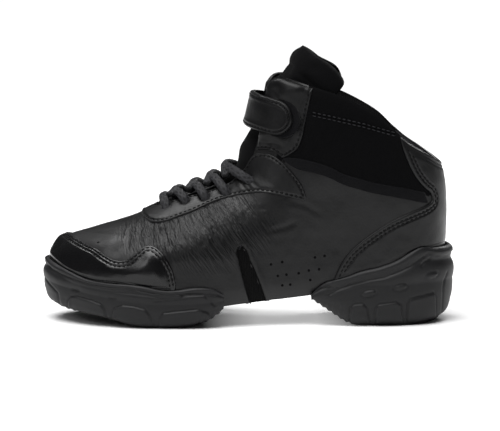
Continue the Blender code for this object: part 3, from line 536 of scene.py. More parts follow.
GUSSET_BACK = [(0.542, 0.090), (0.522, 0.178), (0.503, 0.244), (0.490, 0.286), (0.484, 0.292)]
PATCH_START = 0.016  # behind the shin line
PATCH_HALF = 0.0119  # half the patch's height
PATCH_ROUND = 0.0110  # length of its round end
PATCH_REACH = 0.0042  # how far its straight part goes on past the middle of the strap's round end
STRAP_END = (0.567, 0.748)  # middle of the strap's round end
STRAP_FALL = math.radians(14)
STRAP_LEAVES = 0.013  # behind the shin line, where the strap leaves the flap
STRAP_SEAM = 0.0021  # from its edge
STRAP_SEAT = 0.030  # behind the shin line, where the strap is sewn to the inner flap
EYELETS = (0.300, 0.344, 0.388, 0.431, 0.464)  # places along the ridge
EYELET_INSET = 0.0052  # from the throat's edge
SEAM_WIDTH = 0.0007  # of the channel that a seam draws into a panel
SEAM_DEPTH = 0.00040
CAP_SEAMS = (0.0016, 0.0037)  # seams by their distance from a panel's edge
STAY_SEAMS = (0.0016,)
COUNTER_SEAMS = (0.0027, 0.0046)
FLAP_SEAM = 0.0017
FLAP_ROLL = 0.0062  # over which a flap's free edge is rolled
FLAP_PUFF = 0.0036  # how far its padding stands out, and how far it bulges inwards:
FLAP_TUCK = 0.0030
CAP_BULGE = (-0.1535, 0.0330)  # where the toe cap stands out most, in the side view
CAP_BULGE_HEIGHT = 0.0017
EYELET_DENT = 0.0011
EYELET_SPREAD = 0.0030
PANEL_SUNK = 0.00026  # how far a panel's back lies in the upper
LACE_LOW = 0.0003
BRAID = 0.0042  # length over which the lace's strands repeat
BRAID_DEPTH = 0.00017
CORD_STEP = 0.00038  # from ring to ring of a lace's mesh
GUSSET_THICK = 0.00055
GUSSET_RIBS = 7  # across its width
GUSSET_RIB = 0.00012  # how far a rib stands up
LACE_STEP = 0.016  # share of the length by which a run starts above its row


def blended(left, right, lower, upper, bunch):
    """A grid of side-view points spanned by its four edges. left and right run up, lower and upper run along."""
    u = (np.linspace(0, 1, len(lower)) ** bunch)[None, :, None]
    v = np.linspace(0, 1, len(left))[:, None, None]
    across = left[:, None] * (1 - u) + right[:, None] * u
    upright = lower[None] * (1 - v) + upper[None] * v
    corners = (lower[0] * (1 - u) + lower[-1] * u) * (1 - v) + (upper[0] * (1 - u) + upper[-1] * u) * v
    return across + upright - corners


# Creases in the outer side's leather, as side-view lines in millimetres with a width and a depth.
CREASES = [
    (1.5, 0.60, [(-106.5, 82.2), (-98.6, 78.0), (-92.4, 73.2), (-86.2, 70.4), (-79.7, 65.9)]),
    (1.4, 0.60, [(-99.6, 83.9), (-96.5, 79.4), (-92.4, 75.9), (-87.6, 75.1), (-81.1, 74.7)]),
    (1.4, 0.45, [(-94.8, 85.3), (-91.0, 80.1), (-87.2, 76.6)]),
    (1.4, 0.40, [(-109.5, 80.4), (-102.7, 75.3), (-96.5, 71.1), (-92.4, 67.7), (-87.6, 64.5)]),
    (1.4, 0.35, [(-115.0, 79.4), (-106.1, 71.1), (-99.3, 66.3), (-93.1, 61.4)]),
    (1.5, 0.60, [(-127.4, 74.2), (-124.7, 68.3), (-121.2, 61.4), (-116.4, 54.5), (-113.0, 50.3)]),
    (1.4, 0.60, [(-122.9, 76.3), (-119.9, 69.7), (-116.4, 63.5), (-112.3, 58.0), (-107.5, 52.4), (-102.7, 47.6)]),
    (1.4, 0.45, [(-129.8, 73.2), (-126.7, 66.3), (-122.6, 60.0)]),
    (1.4, 0.40, [(-133.9, 72.1), (-129.5, 64.2), (-124.7, 56.6)]),
    (1.4, 0.35, [(-137.7, 70.8), (-133.6, 62.1), (-129.5, 55.2)]),
    (1.5, 0.45, [(-140.8, 69.7), (-138.4, 62.1), (-134.3, 53.1)]),
    (1.4, 0.35, [(-145.6, 68.7), (-143.2, 62.1), (-139.8, 54.5)]),
    (1.5, 0.50, [(-149.7, 67.3), (-147.4, 60.0), (-144.6, 52.8), (-143.3, 48.3)]),
    (1.4, 0.40, [(-152.8, 67.3), (-151.1, 60.7), (-148.1, 54.5)]),
    (1.5, 0.45, [(-155.6, 67.3), (-154.6, 62.1), (-152.9, 57.3)]),
    (1.6, 0.30, [(-169.4, 60.7), (-171.1, 54.2), (-170.3, 49.9)]),
    (1.5, 0.28, [(-162.5, 62.0), (-163.4, 54.0), (-161.0, 48.0)]),
    (1.6, 0.35, [(-156.8, 66.0), (-155.7, 54.4), (-152.4, 47.4)]),
    (1.8, 0.25, [(-82.0, 61.0), (-70.9, 63.6), (-61.9, 67.9)]),
    (1.8, 0.25, [(-68.5, 79.5), (-58.8, 77.5), (-47.9, 71.0)]),
]
INNER_SHIFT = 0.004  # of the same creases on the inner side
# Creases over the eyestay, in the same way.
STAY_CREASES = [
    (1.2, 0.22, [(-100.0, 94.4), (-97.6, 88.5), (-94.2, 85.0)]),
    (1.1, 0.20, [(-97.2, 95.2), (-94.3, 88.5), (-92.3, 86.0)]),
    (1.4, 0.18, [(-91.9, 91.1), (-87.9, 87.9), (-81.0, 86.3)]),
]
# How far a fine wrinkle runs to the rear for each metre that it falls, by where it meets the height WRINKLE_TOP.
WRINKLE_LEAN = [(-0.185, 0.10), (-0.155, 0.25), (-0.140, 0.38), (-0.120, 0.58), (-0.100, 0.80), (-0.080, 0.95)]
WRINKLE_TOP = 0.080
WRINKLE_DEPTH = 0.00022
BROAD_WRINKLE = 0.0052  # from crest to crest, about
NARROW_WRINKLE = 0.0026
WRINKLE_PATCH = 0.022  # size of the areas with stronger or weaker wrinkles
SWELL = 0.00013  # unevenness of the stretched leather
FINE_SWELL = 0.00003
SUEDE_PUFF = 0.0011  # how far the collar's suede stands up from its edge
SUEDE_QUILT = 0.0008  # how deep its stitches draw it in
# The air holes at the arch and the two on the vamp, in millimetres.
PERFORATIONS = [
    (-80.3, 40.1), (-73.2, 41.4), (-52.4, 44.1), (-46.3, 45.0), (-76.0, 32.6), (-70.5, 33.3),
    (-62.7, 34.1), (-56.3, 35.8), (-49.8, 36.5), (-73.1, 26.5), (-68.1, 26.9), (-55.4, 29.7),
    (-204.5, 51.5), (-190.5, 52.0),
]  # fmt: skip
# Radius and rise of a pinhole's rings, from its foot to its sunk middle.
PINHOLE = ((0.00085, -0.0004), (0.00085, 0.00010), (0.0006, 0.00012), (0.0003, 0.00005))
# The line between the two rows of stitches in the collar's suede, in millimetres.
SUEDE_STITCH = [(-54.5, 135.2), (-43.1, 132.8), (-22.0, 128.0), (-1.8, 122.1)]


def waves(points, size, seed):
    """A smooth, seeded unevenness of about one, with swells of about a size."""
    random = np.random.default_rng(seed)
    total = 0.0
    for _ in range(14):
        way = random.normal(size=points.shape[-1])
        way *= 2 * math.pi * random.uniform(0.6, 1.4) / (size * np.linalg.norm(way))
        total = total + np.sin(points @ way + random.uniform(0, 2 * math.pi))
    return total / math.sqrt(7)


def along_line(x, z, line):
    """Distance in the side view from points to a polyline, and the share of its length where each is nearest."""
    best, share, done = np.full(np.shape(x), np.inf), np.zeros(np.shape(x)), 0.0
    for (ax, az), (bx, bz) in zip(line, line[1:]):
        run = np.array([bx - ax, bz - az])
        t = np.clip(((x - ax) * run[0] + (z - az) * run[1]) / (run @ run), 0, 1)
        gap = np.hypot(x - ax - t * run[0], z - az - t * run[1])
        share = np.where(gap < best, done + t * np.hypot(*run), share)
        best = np.minimum(best, gap)
        done += np.hypot(*run)
    return best, share / done


def to_line(x, z, line):
    """Distance in the side view from points to a polyline."""
    return along_line(x, z, line)[0]


def fine_line(rows, count=160):
    return line(rows, np.linspace(0, 1, count))


def fold_shape(gap, shoulder):
    """A crease across its width: a dip, with a low swell of the leather beside it."""
    return np.exp(-(gap**2) * 1.6) - shoulder * np.exp(-((gap - 1.7) ** 2) * 1.4)


def creases(x, z, side):
    """Depth of the listed creases and the fine wrinkles beside them, in metres."""
    depth = np.zeros(np.shape(x))
    shift = 0.0 if side < 0 else INNER_SHIFT
    for width, deep, rows in CREASES:
        gap, share = along_line(x, z, metres(rows, shift))
        fade = np.minimum(1, 5 * np.minimum(share + 0.05, 1 - share))
        depth -= deep * MM * fade * fold_shape(gap / (width * MM), 0.35)
    lean = np.array(WRINKLE_LEAN)
    top = x.copy()
    for _ in range(6):
        top = x + np.interp(top, lean[:, 0], lean[:, 1]) * (z - WRINKLE_TOP)
    seed = 5 if side < 0 else 6
    broad = waves(np.stack([top, z * 0.14], axis=-1), BROAD_WRINKLE, seed)
    narrow = waves(np.stack([top, z * 0.20], axis=-1), NARROW_WRINKLE, seed + 10)
    strong = 0.55 + 0.45 * np.tanh(waves(np.stack([x, z], axis=-1), WRINKLE_PATCH, seed + 20))
    fold = (bell(broad, 0.0, 0.40) - 0.45) + 0.45 * (bell(narrow, 0.0, 0.5) - 0.5)
    stay = fine_line(EYESTAY_FOOT)
    below = to_line(x, z, stay[::4])
    line_z = np.interp(x, stay[:, 0], stay[:, 1])
    where = step(line_z - z, 0.0, 0.002) * (1 - step(below, 0.010, 0.026))
    where = where * step(x, -0.172, 0.014) * (1 - step(x, -0.108, 0.020)) * (1 - step(line_z - z, 0.020, 0.016))
    return depth - fold * where * strong * WRINKLE_DEPTH


def slot_depth(x, z):
    """The slot of the elastic: sunk between its edges, with a raised rim."""
    front, back = fine_line(GUSSET_FRONT), fine_line(GUSSET_BACK)
    inside_x = np.minimum(x - np.interp(z, front[:, 1], front[:, 0]), np.interp(z, back[:, 1], back[:, 0]) - x)
    inside = np.minimum(inside_x, front[-1, 1] + 0.001 - z)
    return -0.0013 * step(inside, 0.0, 0.0008) + 0.0006 * bell(inside, -0.0012, 0.0011)


def collar_gap(x, z):
    """Distance from the collar's edge, behind the flap, in the side view."""
    edge = fine_line(np.stack([COLLAR["place"], COLLAR["height"]], axis=1), 60)
    return to_line(x, z, edge)


def relief(x, z, side, creased=1.0):
    """How far the dressed leather stands off the plain form, in metres. Side 0 is the mean of both."""
    if side == 0:
        return (relief(x, z, -1, creased) + relief(x, z, 1, creased)) / 2
    x, z = np.asarray(x, float), np.asarray(z, float)
    points = np.stack([x, z], axis=-1)
    rise = SWELL * waves(points, 0.030, 3 if side < 0 else 4) + FINE_SWELL * waves(points, 0.009, 8)
    rise = rise + creases(x, z, side) * creased + slot_depth(x, z)
    band = fine_line(BINDING_TOP)
    above = z - np.interp(x, band[:, 0], band[:, 1])
    suede = step(above, -0.002, 0.004) * step(x, place_x(0.625), 0.006) * (1 - step(x, place_x(0.885), 0.02))
    quilt = to_line(x, z, metres(SUEDE_STITCH))
    puff = SUEDE_PUFF * step(collar_gap(x, z), 0.0, 0.006)
    return rise + suede * (puff - SUEDE_QUILT * bell(quilt, 0.0, 0.0016))


def on_form(grid, side):
    """Points of the upper's plain outer surface for a grid of side-view points."""
    rows = []
    for row in grid:
        x, z = row[..., 0], row[..., 1]
        rows.append(np.stack([x, middle_y(x, z) + side * half_width(x, z), z], axis=-1))
    return np.array(rows)


def calmed(grid):
    """Every vector of a grid, counted twice, with its four neighbours."""
    wide = np.pad(grid, ((1, 1), (1, 1), (0, 0)), mode="edge")
    return wide[:-2, 1:-1] + wide[2:, 1:-1] + wide[1:-1, :-2] + wide[1:-1, 2:] + 2 * grid


def normals(points):
    """Normals of a grid of points that run outwards from the shoe's middle."""
    normal = unit(np.cross(np.gradient(points, axis=1), np.gradient(points, axis=0)))
    middle = points.reshape(-1, 3).mean(axis=0)
    middle[1] = 0.0
    if (normal * (points - middle)).sum() < 0:
        normal = -normal
    return unit(calmed(unit(calmed(normal))))


def form_points(x, z, side):
    """Points of the plain form and its own normals, for side-view points away from the silhouette."""
    x, z = np.atleast_1d(np.asarray(x, float)), np.atleast_1d(np.asarray(z, float))

    def across(a, b):
        return middle_y(a, b) + side * half_width(a, b)

    slope_x = (across(x + NEAR, z) - across(x - NEAR, z)) / (2 * NEAR)
    slope_z = (across(x, z + NEAR) - across(x, z - NEAR)) / (2 * NEAR)
    normal = np.stack([-side * slope_x, np.full(x.shape, float(side)), -side * slope_z], axis=-1)
    return np.stack([x, across(x, z), z], axis=-1), unit(normal)


def surface(x, z, side, lift=0.0):
    """Points on the dressed leather and its normals, in the same way."""
    points, normal = form_points(x, z, side)
    return points + normal * (relief(points[:, 0], points[:, 2], side) + lift)[:, None], normal


def distance_to(points, border):
    """How far each point of a grid is from a line of points in space."""
    flat = points.reshape(-1, 3)
    border = np.concatenate([border, (border[1:] + border[:-1]) / 2])
    best = np.full(len(flat), np.inf)
    for start in range(0, len(border), 48):
        part = border[start : start + 48]
        best = np.minimum(best, np.linalg.norm(flat[:, None] - part[None], axis=2).min(axis=1))
    return best.reshape(points.shape[:-1])


def quads(index):
    """Faces of a grid of point numbers."""
    a, b, c, d = index[:-1, :-1], index[:-1, 1:], index[1:, 1:], index[1:, :-1]
    return np.stack([a, b, c, d], axis=-1).reshape(-1, 4).tolist()


def rings(index):
    """Faces round a grid of points whose rows are closed rings."""
    return quads(np.concatenate([index, index[:, :1]], axis=1))


def rim(fine, coarse):
    """Faces between a border and one half as fine."""
    faces = []
    for k in range(len(coarse) - 1):
        a, b, c = fine[2 * k], fine[2 * k + 1], fine[2 * k + 2]
        faces += [(a, b, coarse[k]), (b, c, coarse[k + 1]), (b, coarse[k + 1], coarse[k])]
    return faces


def shell_mesh(top, under, start=0, open_sides=(), bare=0):
    """Points, faces and their kinds (0 top, 1 under, 2 rim) of a closed sheet between a fine grid and every second
    point of another. bare: how many cells of the last row have no rim."""
    low = under[::2, ::2]
    index = start + np.arange(top.shape[0] * top.shape[1]).reshape(top.shape[:2])
    inner = start + index.size + np.arange(low.shape[0] * low.shape[1]).reshape(low.shape[:2])
    faces = quads(index) + [face[::-1] for face in quads(inner)]
    kinds = [0] * len(quads(index)) + [1] * len(quads(inner))
    for name, pair in (
        ("first_row", (index[0], inner[0])),
        ("last_row", (index[-1], inner[-1])),
        ("first_column", (index[:, 0], inner[:, 0])),
        ("last_column", (index[:, -1], inner[:, -1])),
    ):
        if name not in open_sides:
            skip = bare if name == "last_row" else 0
            made = rim(pair[0][2 * skip :].tolist(), pair[1][skip:].tolist())
            faces += made
            kinds += [2] * len(made)
    return np.concatenate([top.reshape(-1, 3), low.reshape(-1, 3)]), faces, kinds


def piece(name, verts, faces, materials, stands_for=(), paint=None, uv=None):
    """A finished piece of the shoe from points and faces, riding on the root."""
    mesh = bpy.data.meshes.new(name)
    mesh.from_pydata([tuple(v) for v in verts], [], [tuple(f) for f in faces])
    if uv is not None:
        layer = mesh.uv_layers.new(name="along")
        for loop in mesh.loops:
            layer.data[loop.index].uv = uv[loop.vertex_index]
    if paint is not None:
        mesh.polygons.foreach_set("material_index", np.asarray(paint, np.int32))
    bm = bmesh.new()
    bm.from_mesh(mesh)
    bmesh.ops.remove_doubles(bm, verts=bm.verts, dist=2e-6)
    bmesh.ops.dissolve_degenerate(bm, edges=bm.edges, dist=1e-7)
    bmesh.ops.recalc_face_normals(bm, faces=bm.faces)
    if bm.calc_volume(signed=True) < 0:
        bmesh.ops.reverse_faces(bm, faces=bm.faces)
    bm.to_mesh(mesh)
    bm.free()
    for material in materials:
        mesh.materials.append(material)
    mesh.shade_smooth()
    obj = bpy.data.objects.new(name, mesh)
    bpy.context.scene.collection.objects.link(obj)
    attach(obj, "root")
    if stands_for:
        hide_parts(*stands_for)
    return obj


def sheet(name, top, under, material, slot, stands_for=()):
    """A finished piece from a closed sheet between two grids of points."""
    verts, faces, _ = shell_mesh(top, under)
    return piece(name, verts, faces, [material], stands_for)


def srgb(code):
    """A linear colour from an sRGB hex value."""
    parts = [int(code[k : k + 2], 16) / 255 for k in (1, 3, 5)]
    return [c / 12.92 if c <= 0.04045 else ((c + 0.055) / 1.055) ** 2.4 for c in parts]


def add(tree, kind, settings=None, **links):
    """A node with its settings, its inputs' values and the sockets linked to them."""
    made = tree.nodes.new(kind)
    for key, value in (settings or {}).items():
        if hasattr(made, key):
            setattr(made, key, value)
        else:
            made.inputs[key].default_value = value
    for key, source in links.items():
        tree.links.new(source, made.inputs[key.replace("_", " ")])
    return made


def fresh(name, uv=None):
    """A new material with its node tree, its shader and the place that its textures hang on."""
    material = bpy.data.materials.new(name)
    material.use_nodes = True
    tree = material.node_tree
    if uv is None:
        place = add(tree, "ShaderNodeTexCoord").outputs["Object"]
    else:
        place = add(tree, "ShaderNodeUVMap", {"uv_map": uv}).outputs["UV"]
    return material, tree, tree.nodes["Principled BSDF"], place


def noise(tree, place, scale, detail, roughness=0.5, distortion=0.0):
    settings = {"Scale": scale, "Detail": detail, "Roughness": roughness, "Distortion": distortion}
    return add(tree, "ShaderNodeTexNoise", settings, Vector=place).outputs["Fac"]


def mapped(tree, place, **settings):
    return add(tree, "ShaderNodeMapping", settings, Vector=place).outputs["Vector"]


def ranged(tree, value, *limits):
    """A value mapped from 0 and 1, or from the first two limits, to the last two."""
    keys = ("From Min", "From Max", "To Min", "To Max")[4 - len(limits) :]
    return add(tree, "ShaderNodeMapRange", dict(zip(keys, limits)), Value=value).outputs["Result"]


def toned(tree, first, second, fac):
    """A mix of two colours by a value."""
    colours = {"Color1": (*first, 1.0), "Color2": (*second, 1.0)}
    return add(tree, "ShaderNodeMixRGB", colours, Fac=fac).outputs["Color"]


def bumped(tree, height, strength, distance, **below):
    settings = {"Strength": strength, "Distance": distance}
    return add(tree, "ShaderNodeBump", settings, Height=height, **below).outputs["Normal"]


def length(tree, vector):
    return add(tree, "ShaderNodeVectorMath", {"operation": "LENGTH"}, Vector=vector).outputs["Value"]


def shade(tree, shader, links, values):
    """Link a shader's inputs by name and set the plain ones."""
    for key, source in links.items():
        tree.links.new(source, shader.inputs[key])
    for key, value in values.items():
        shader.inputs[key].default_value = value


def wrinkles(tree, place):
    """Height of the finest wrinkles where the foot bends: streaks that lean with the creases and fade out."""
    streaks = []
    for lean in (0.25, 0.72):
        turned = mapped(tree, place, Rotation=(0.0, math.atan(lean), 0.0))
        streaks.append(noise(tree, mapped(tree, turned, Scale=(1.0, 0.25, 0.09)), 620.0, 3.0, 0.55, 0.25))
    split = add(tree, "ShaderNodeSeparateXYZ", Vector=place)
    rear = ranged(tree, split.outputs["X"], -0.155, -0.118, 0.0, 1.0)
    both = add(tree, "ShaderNodeMixRGB", Fac=rear, Color1=streaks[0], Color2=streaks[1]).outputs["Color"]
    away = length(tree, mapped(tree, place, Location=(2.30, 0.0, -1.98), Scale=(18.0, 0.0, 32.0)))
    near = ranged(tree, away, 0.45, 1.0, 1.0, 0.0)
    level = {"Color1": (0.5, 0.5, 0.5, 1.0)}
    return add(tree, "ShaderNodeMixRGB", level, Fac=near, Color2=both).outputs["Color"]


def full_grain(name, colour, gloss, grain=1.0, shine=0.29, worn=0.0):
    """Full-grain leather, drum dyed and polished: fine pebbles, a soft gloss that varies, wrinkled where worn."""
    material, tree, shader, place = fresh(name)
    cells = {"feature": "SMOOTH_F1", "Scale": 620.0, "Smoothness": 0.7}
    pebble = add(tree, "ShaderNodeTexVoronoi", cells, Vector=place).outputs["Distance"]
    pores = noise(tree, place, 1500.0, 3.0, 0.6)
    uneven = noise(tree, place, 60.0, 5.0, 0.6)
    height = add(tree, "ShaderNodeMixRGB", {"Fac": 0.35}, Color1=pebble, Color2=pores).outputs["Color"]
    bump = bumped(tree, height, 0.22 * grain, 0.0004)
    rough = ranged(tree, uneven, 0.3, 0.7, gloss - 0.06, gloss + 0.09)
    if worn:
        bump = bumped(tree, wrinkles(tree, place), worn, 0.0019, Normal=bump)
    tone = toned(tree, colour, srgb("#0c0c0d"), uneven)
    links = {"Base Color": tone, "Roughness": rough, "Normal": bump}
    shade(tree, shader, links, {"Specular IOR Level": shine, "Coat Weight": 0.05, "Coat Roughness": 0.2})
    return material


def suede_leather(name, colour, sheen):
    """Split suede, brushed: a short nap without gloss, mottled where the nap lies different ways."""
    material, tree, shader, place = fresh(name)
    tone = toned(tree, colour, srgb("#080809"), noise(tree, place, 70.0, 4.0, 0.65))
    bump = bumped(tree, noise(tree, place, 1400.0, 4.0, 0.7), 0.5, 0.0005)
    values = {"Roughness": 0.95, "Specular IOR Level": 0.06, "Sheen Weight": sheen, "Sheen Roughness": 0.5}
    shade(tree, shader, {"Base Color": tone, "Normal": bump}, values)
    return material


def moulded_rubber(name, colour):
    """Moulded rubber: satin from the mould's blasted wall, with faint flow marks."""
    material, tree, shader, place = fresh(name)
    flow = noise(tree, place, 45.0, 4.0, 0.55)
    tone = toned(tree, colour, srgb("#181819"), flow)
    bump = bumped(tree, noise(tree, place, 900.0, 3.0, 0.6), 0.18, 0.0003)
    links = {"Base Color": tone, "Roughness": ranged(tree, flow, 0.42, 0.62), "Normal": bump}
    shade(tree, shader, links, {"Specular IOR Level": 0.3})
    return material


def knit(name, colour, pitch):
    """Knitted textile: fine upright ribs of yarn, matte, with painted shade in the hollows between the ribs."""
    material, tree, shader, place = fresh(name)
    waved = {"bands_direction": "X", "Scale": 0.314 / pitch, "Distortion": 1.0, "Detail": 2.0, "Detail Scale": 60.0}
    ribs = add(tree, "ShaderNodeTexWave", waved, Vector=place).outputs["Fac"]
    # painted shade: the ribs' hollows are coloured darker, by the same waves that raise the ribs
    links = {"Base Color": toned(tree, STRAND_SHADE_AND_TONE, colour, ribs), "Normal": bumped(tree, ribs, 0.6, 0.0004)}
    shade(tree, shader, links, {"Roughness": 0.9, "Specular IOR Level": 0.12})
    return material


def plain(name, colour, roughness, shine=0.15):
    """Polyester yarn, spun and dyed: matte, its tone a little uneven at random."""
    material, tree, shader, place = fresh(name)
    tone = toned(tree, STRAND_SHADE_AND_TONE, colour, noise(tree, place, 2500.0, 2.0))
    shade(tree, shader, {"Base Color": tone}, {"Roughness": roughness, "Specular IOR Level": shine})
    return material


def braided(name, colour):
    """Braided polyester cord: strands cross each other along the lace's own UV, matte with a faint sheen, with
    painted shade between the strands.
    """
    material, tree, shader, place = fresh(name, "along")
    strand = {"wave_type": "BANDS", "bands_direction": "DIAGONAL", "Scale": 0.5, "Distortion": 0.4}
    ways = []
    for lean in (1.0, -1.0):
        turned = mapped(tree, place, Scale=(2.4, 7.0 * lean, 1.0))
        ways.append(add(tree, "ShaderNodeTexWave", strand, Vector=turned).outputs["Fac"])
    lighter = {"blend_type": "LIGHTEN", "Fac": 1.0}
    cross = add(tree, "ShaderNodeMixRGB", lighter, Color1=ways[0], Color2=ways[1]).outputs["Color"]
    # painted shade: the lows between the strands are coloured near black, by the same pattern that raises the
    # strands
    links = {"Base Color": toned(tree, srgb("#070708"), colour, cross), "Normal": bumped(tree, cross, 0.7, 0.0004)}
    shade(tree, shader, links, {"Roughness": 0.65, "Specular IOR Level": 0.3})
    return material


STRAND_SHADE_AND_TONE = srgb("#030303")  # painted shade between the strands of the knit; in thread, the darker side of a random tone
FINISH = {}


def finishes(looks):
    """The shoe's materials, made once."""
    if not FINISH:
        FINISH["leather"] = full_grain("Full-grain leather, polished", looks.leather, looks.gloss)
        FINISH["wall"] = full_grain("Full-grain leather, worn at the bend", looks.leather, looks.gloss, worn=1.0)
        FINISH["strap"] = full_grain("Full-grain leather, matte", looks.leather, looks.gloss + 0.02, shine=0.19)
        FINISH["cap"] = full_grain("Full-grain leather, toe cap", looks.leather, looks.gloss - 0.18, 0.4, 0.36)
        # painted light: a pale grey copy of the black leather stands in for light falling on the lining inside the
        # heel
        FINISH["inside"] = full_grain("Lining leather behind the heel, painted lit", srgb("#2c2c2f"), looks.gloss + 0.1)
        FINISH["suede"] = suede_leather("Split suede, brushed", looks.suede, 0.015)
        FINISH["band"] = suede_leather("Split suede, brushed pale", srgb("#141416"), 0.06)
        FINISH["rubber"] = moulded_rubber("Moulded rubber, satin", looks.rubber)
        FINISH["lining"] = knit("Knit lining", srgb("#131314"), 0.0012)
        FINISH["elastic"] = knit("Knit elastic", srgb("#09090a"), 0.0011)
        FINISH["thread"] = plain("Polyester thread", looks.thread, 0.6)
        FINISH["pale thread"] = plain("Polyester thread, paler", srgb("#303033"), 0.7)
        FINISH["cord"] = braided("Braided polyester lace", looks.lace)
        # painted shade: the holes are matte near-black discs that stand in for the shade inside them
        FINISH["hole"] = plain("Punched hole, painted shade", srgb("#0a0a0b"), 0.9, 0.05)
    return FINISH


def stitch_template(length, width):
    """One stitch: a short arched thread, sunk at both ends, as points (along, side, up) and faces."""
    rings, around = 5, 6
    verts, faces = [], []
    for k in range(rings):
        t = -1 + 2 * k / (rings - 1)
        thick = math.sqrt(max(1 - abs(t) ** 3, 0.06)) * width / 2
        rise = width * (0.38 - 0.55 * t * t)
        for j in range(around):
            a = 2 * math.pi * j / around
            verts.append((t * length / 2, thick * math.cos(a), rise + thick * math.sin(a)))
    for k in range(rings - 1):
        for j in range(around):
            n = (j + 1) % around
            faces.append((k * around + j, k * around + n, (k + 1) * around + n, (k + 1) * around + j))
    faces += [tuple(range(around))[::-1], tuple(range((rings - 1) * around, rings * around))]
    return np.array(verts), faces


def run_of(points):
    """How far along a line each of its points lies."""
    return np.concatenate([[0], np.cumsum(np.linalg.norm(np.diff(points, axis=0), axis=1))])


def at_run(at, run, values):
    """Values along a line, at distances on it."""
    return np.stack([np.interp(at, run, values[:, j]) for j in range(3)], axis=-1)


def stitch_row(paths, looks):
    """Points and faces of the stitches along lines of (points, normals)."""
    shape, template = stitch_template(looks.stitch_length, looks.thread_width)
    verts, faces = [], []
    for points, ups in paths:
        run, half = run_of(points), looks.stitch_length / 2
        count = max(int(run[-1] / looks.stitch_pitch), 1)
        for k in range(count):
            at = (k + 0.5) / count * run[-1]
            here, up = at_run(at, run, points), at_run(at, run, ups)
            along = at_run(at + half, run, points) - at_run(at - half, run, points)
            along /= max(np.linalg.norm(along), 1e-9)
            up -= along * (up @ along)
            up /= max(np.linalg.norm(up), 1e-9)
            sideways = np.cross(up, along)
            start = sum(len(v) for v in verts)
            verts.append(here + shape @ np.stack([along, sideways, up]))
            faces += [tuple(start + i for i in face) for face in template]
    return np.concatenate(verts), faces


def stitches(name, paths, looks, thread="thread"):
    """A piece of stitches along lines, in one of the threads."""
    verts, faces = stitch_row(paths, looks)
    return piece(name, verts, faces, [FINISH[thread]])


def level_line(points, ups, gap, distance, border):
    """The line on a grid that lies at a distance from one of its borders."""
    found, normal = [], []
    grid = {"last_row": (points[::-1], ups[::-1], gap[::-1]), "first_row": (points, ups, gap)}
    grid["first_column"] = (points.transpose(1, 0, 2), ups.transpose(1, 0, 2), gap.T)
    grid["last_column"] = tuple(a[::-1] for a in grid["first_column"])
    rows, tops, gaps = grid[border]
    for k in range(rows.shape[1]):
        far = np.argmax(gaps[:, k] >= distance)
        if far == 0:
            continue
        t = (distance - gaps[far - 1, k]) / max(gaps[far, k] - gaps[far - 1, k], 1e-9)
        found.append(rows[far - 1, k] * (1 - t) + rows[far, k] * t)
        normal.append(tops[far, k])
    return np.array(found), np.array(normal)


def outline(points):
    """The four borders of a grid as one line of points."""
    return np.concatenate([points[0], points[-1], points[:, 0], points[:, -1]])


def rolled(gap, thickness, roll):
    """Height of a leather panel over its ground: full inside, rounded down at its cut edge."""
    return thickness * (0.30 + 0.70 * quarter(gap / roll))


def groove(gap, distance, width, depth):
    """A seam's channel at a distance from an edge."""
    return -depth * bell(gap, distance, width)


def panel_grid(left, right, lower, upper, columns, rows, joined, bunch=1.3):
    """A dense grid of side-view points over a panel's outline."""
    bunch = bunch if joined else 1.0
    along, across = np.linspace(0, 1, columns) ** bunch, np.linspace(0, 1, rows)
    return blended(line(left, across), line(right, across), line(lower, along), line(upper, along), bunch)


def dressed_panel(
    name, grid, sides, thickness, roll, seams, material, slot, stands_for, border="last_row", swell=None
):
    """A leather panel on the form, with a rounded edge and sunk seams, and its stitches."""
    if len(sides) == 2:
        halves = [on_form(grid, side) for side in sides]
        halves[0][:, 0, 1] = middle_y(grid[:, 0, 0], grid[:, 0, 1])
        reliefs = [relief(grid[..., 0], grid[..., 1], side, 0.2) for side in sides]
        points = np.concatenate([halves[0][:, ::-1], halves[1][:, 1:]], axis=1)
        lift = np.concatenate([reliefs[0][:, ::-1], reliefs[1][:, 1:]], axis=1)
    else:
        points = on_form(grid, sides[0])
        lift = relief(grid[..., 0], grid[..., 1], sides[0])
    ups = normals(points)
    gap = distance_to(points, outline(points))
    height = rolled(gap, thickness, roll)
    for distance in seams:
        height = height + groove(gap, distance, SEAM_WIDTH, SEAM_DEPTH)
    if swell is not None:
        height = height + swell(points, gap)
    top = points + ups * (lift + height)[..., None]
    under = points + ups * (lift * 0.5 - PANEL_SUNK)[..., None]
    sheet(name, top, under, material, slot, stands_for)
    paths = []
    for distance in seams:
        for edge in border.split():
            found = level_line(top, ups, gap, distance, edge)
            if len(found[0]) > 3:
                paths.append(found)
    return paths


def upper_columns(count):
    """Columns of the upper from 0 to 1, closer together at the toe and the heel."""
    even = np.linspace(0, 1, count)
    return even * 0.15 + 0.85 * (1 - np.cos(even * math.pi)) / 2


def upper_edge(columns):
    """The upper's own top edge: vamp ridge, throat, the step to the flap, and the collar."""
    collar = line(np.stack([COLLAR["place"], COLLAR["height"]], 1), np.linspace(0, 1, 600))
    last = np.array(throat_edge(THROAT_TOP))
    edge = []
    for column in columns:
        if column <= COLUMN_THROAT:
            place = RIDGE["place"][0] + (THROAT_FRONT - RIDGE["place"][0]) * column / COLUMN_THROAT
            edge.append(ridge_at(place))
        elif column <= COLUMN_FLAP - LINK:
            share = (column - COLUMN_THROAT) / (COLUMN_FLAP - LINK - COLUMN_THROAT)
            edge.append(throat_edge(THROAT_FRONT + (THROAT_TOP - THROAT_FRONT) * share**1.25))
        elif column <= COLUMN_FLAP:
            t = (column - COLUMN_FLAP + LINK) / LINK
            edge.append(last * (1 - t) + collar[0] * t)
        else:
            edge.append(collar[int((column - COLUMN_FLAP) / (1 - COLUMN_FLAP) * 599)])
    return np.array(edge, float)


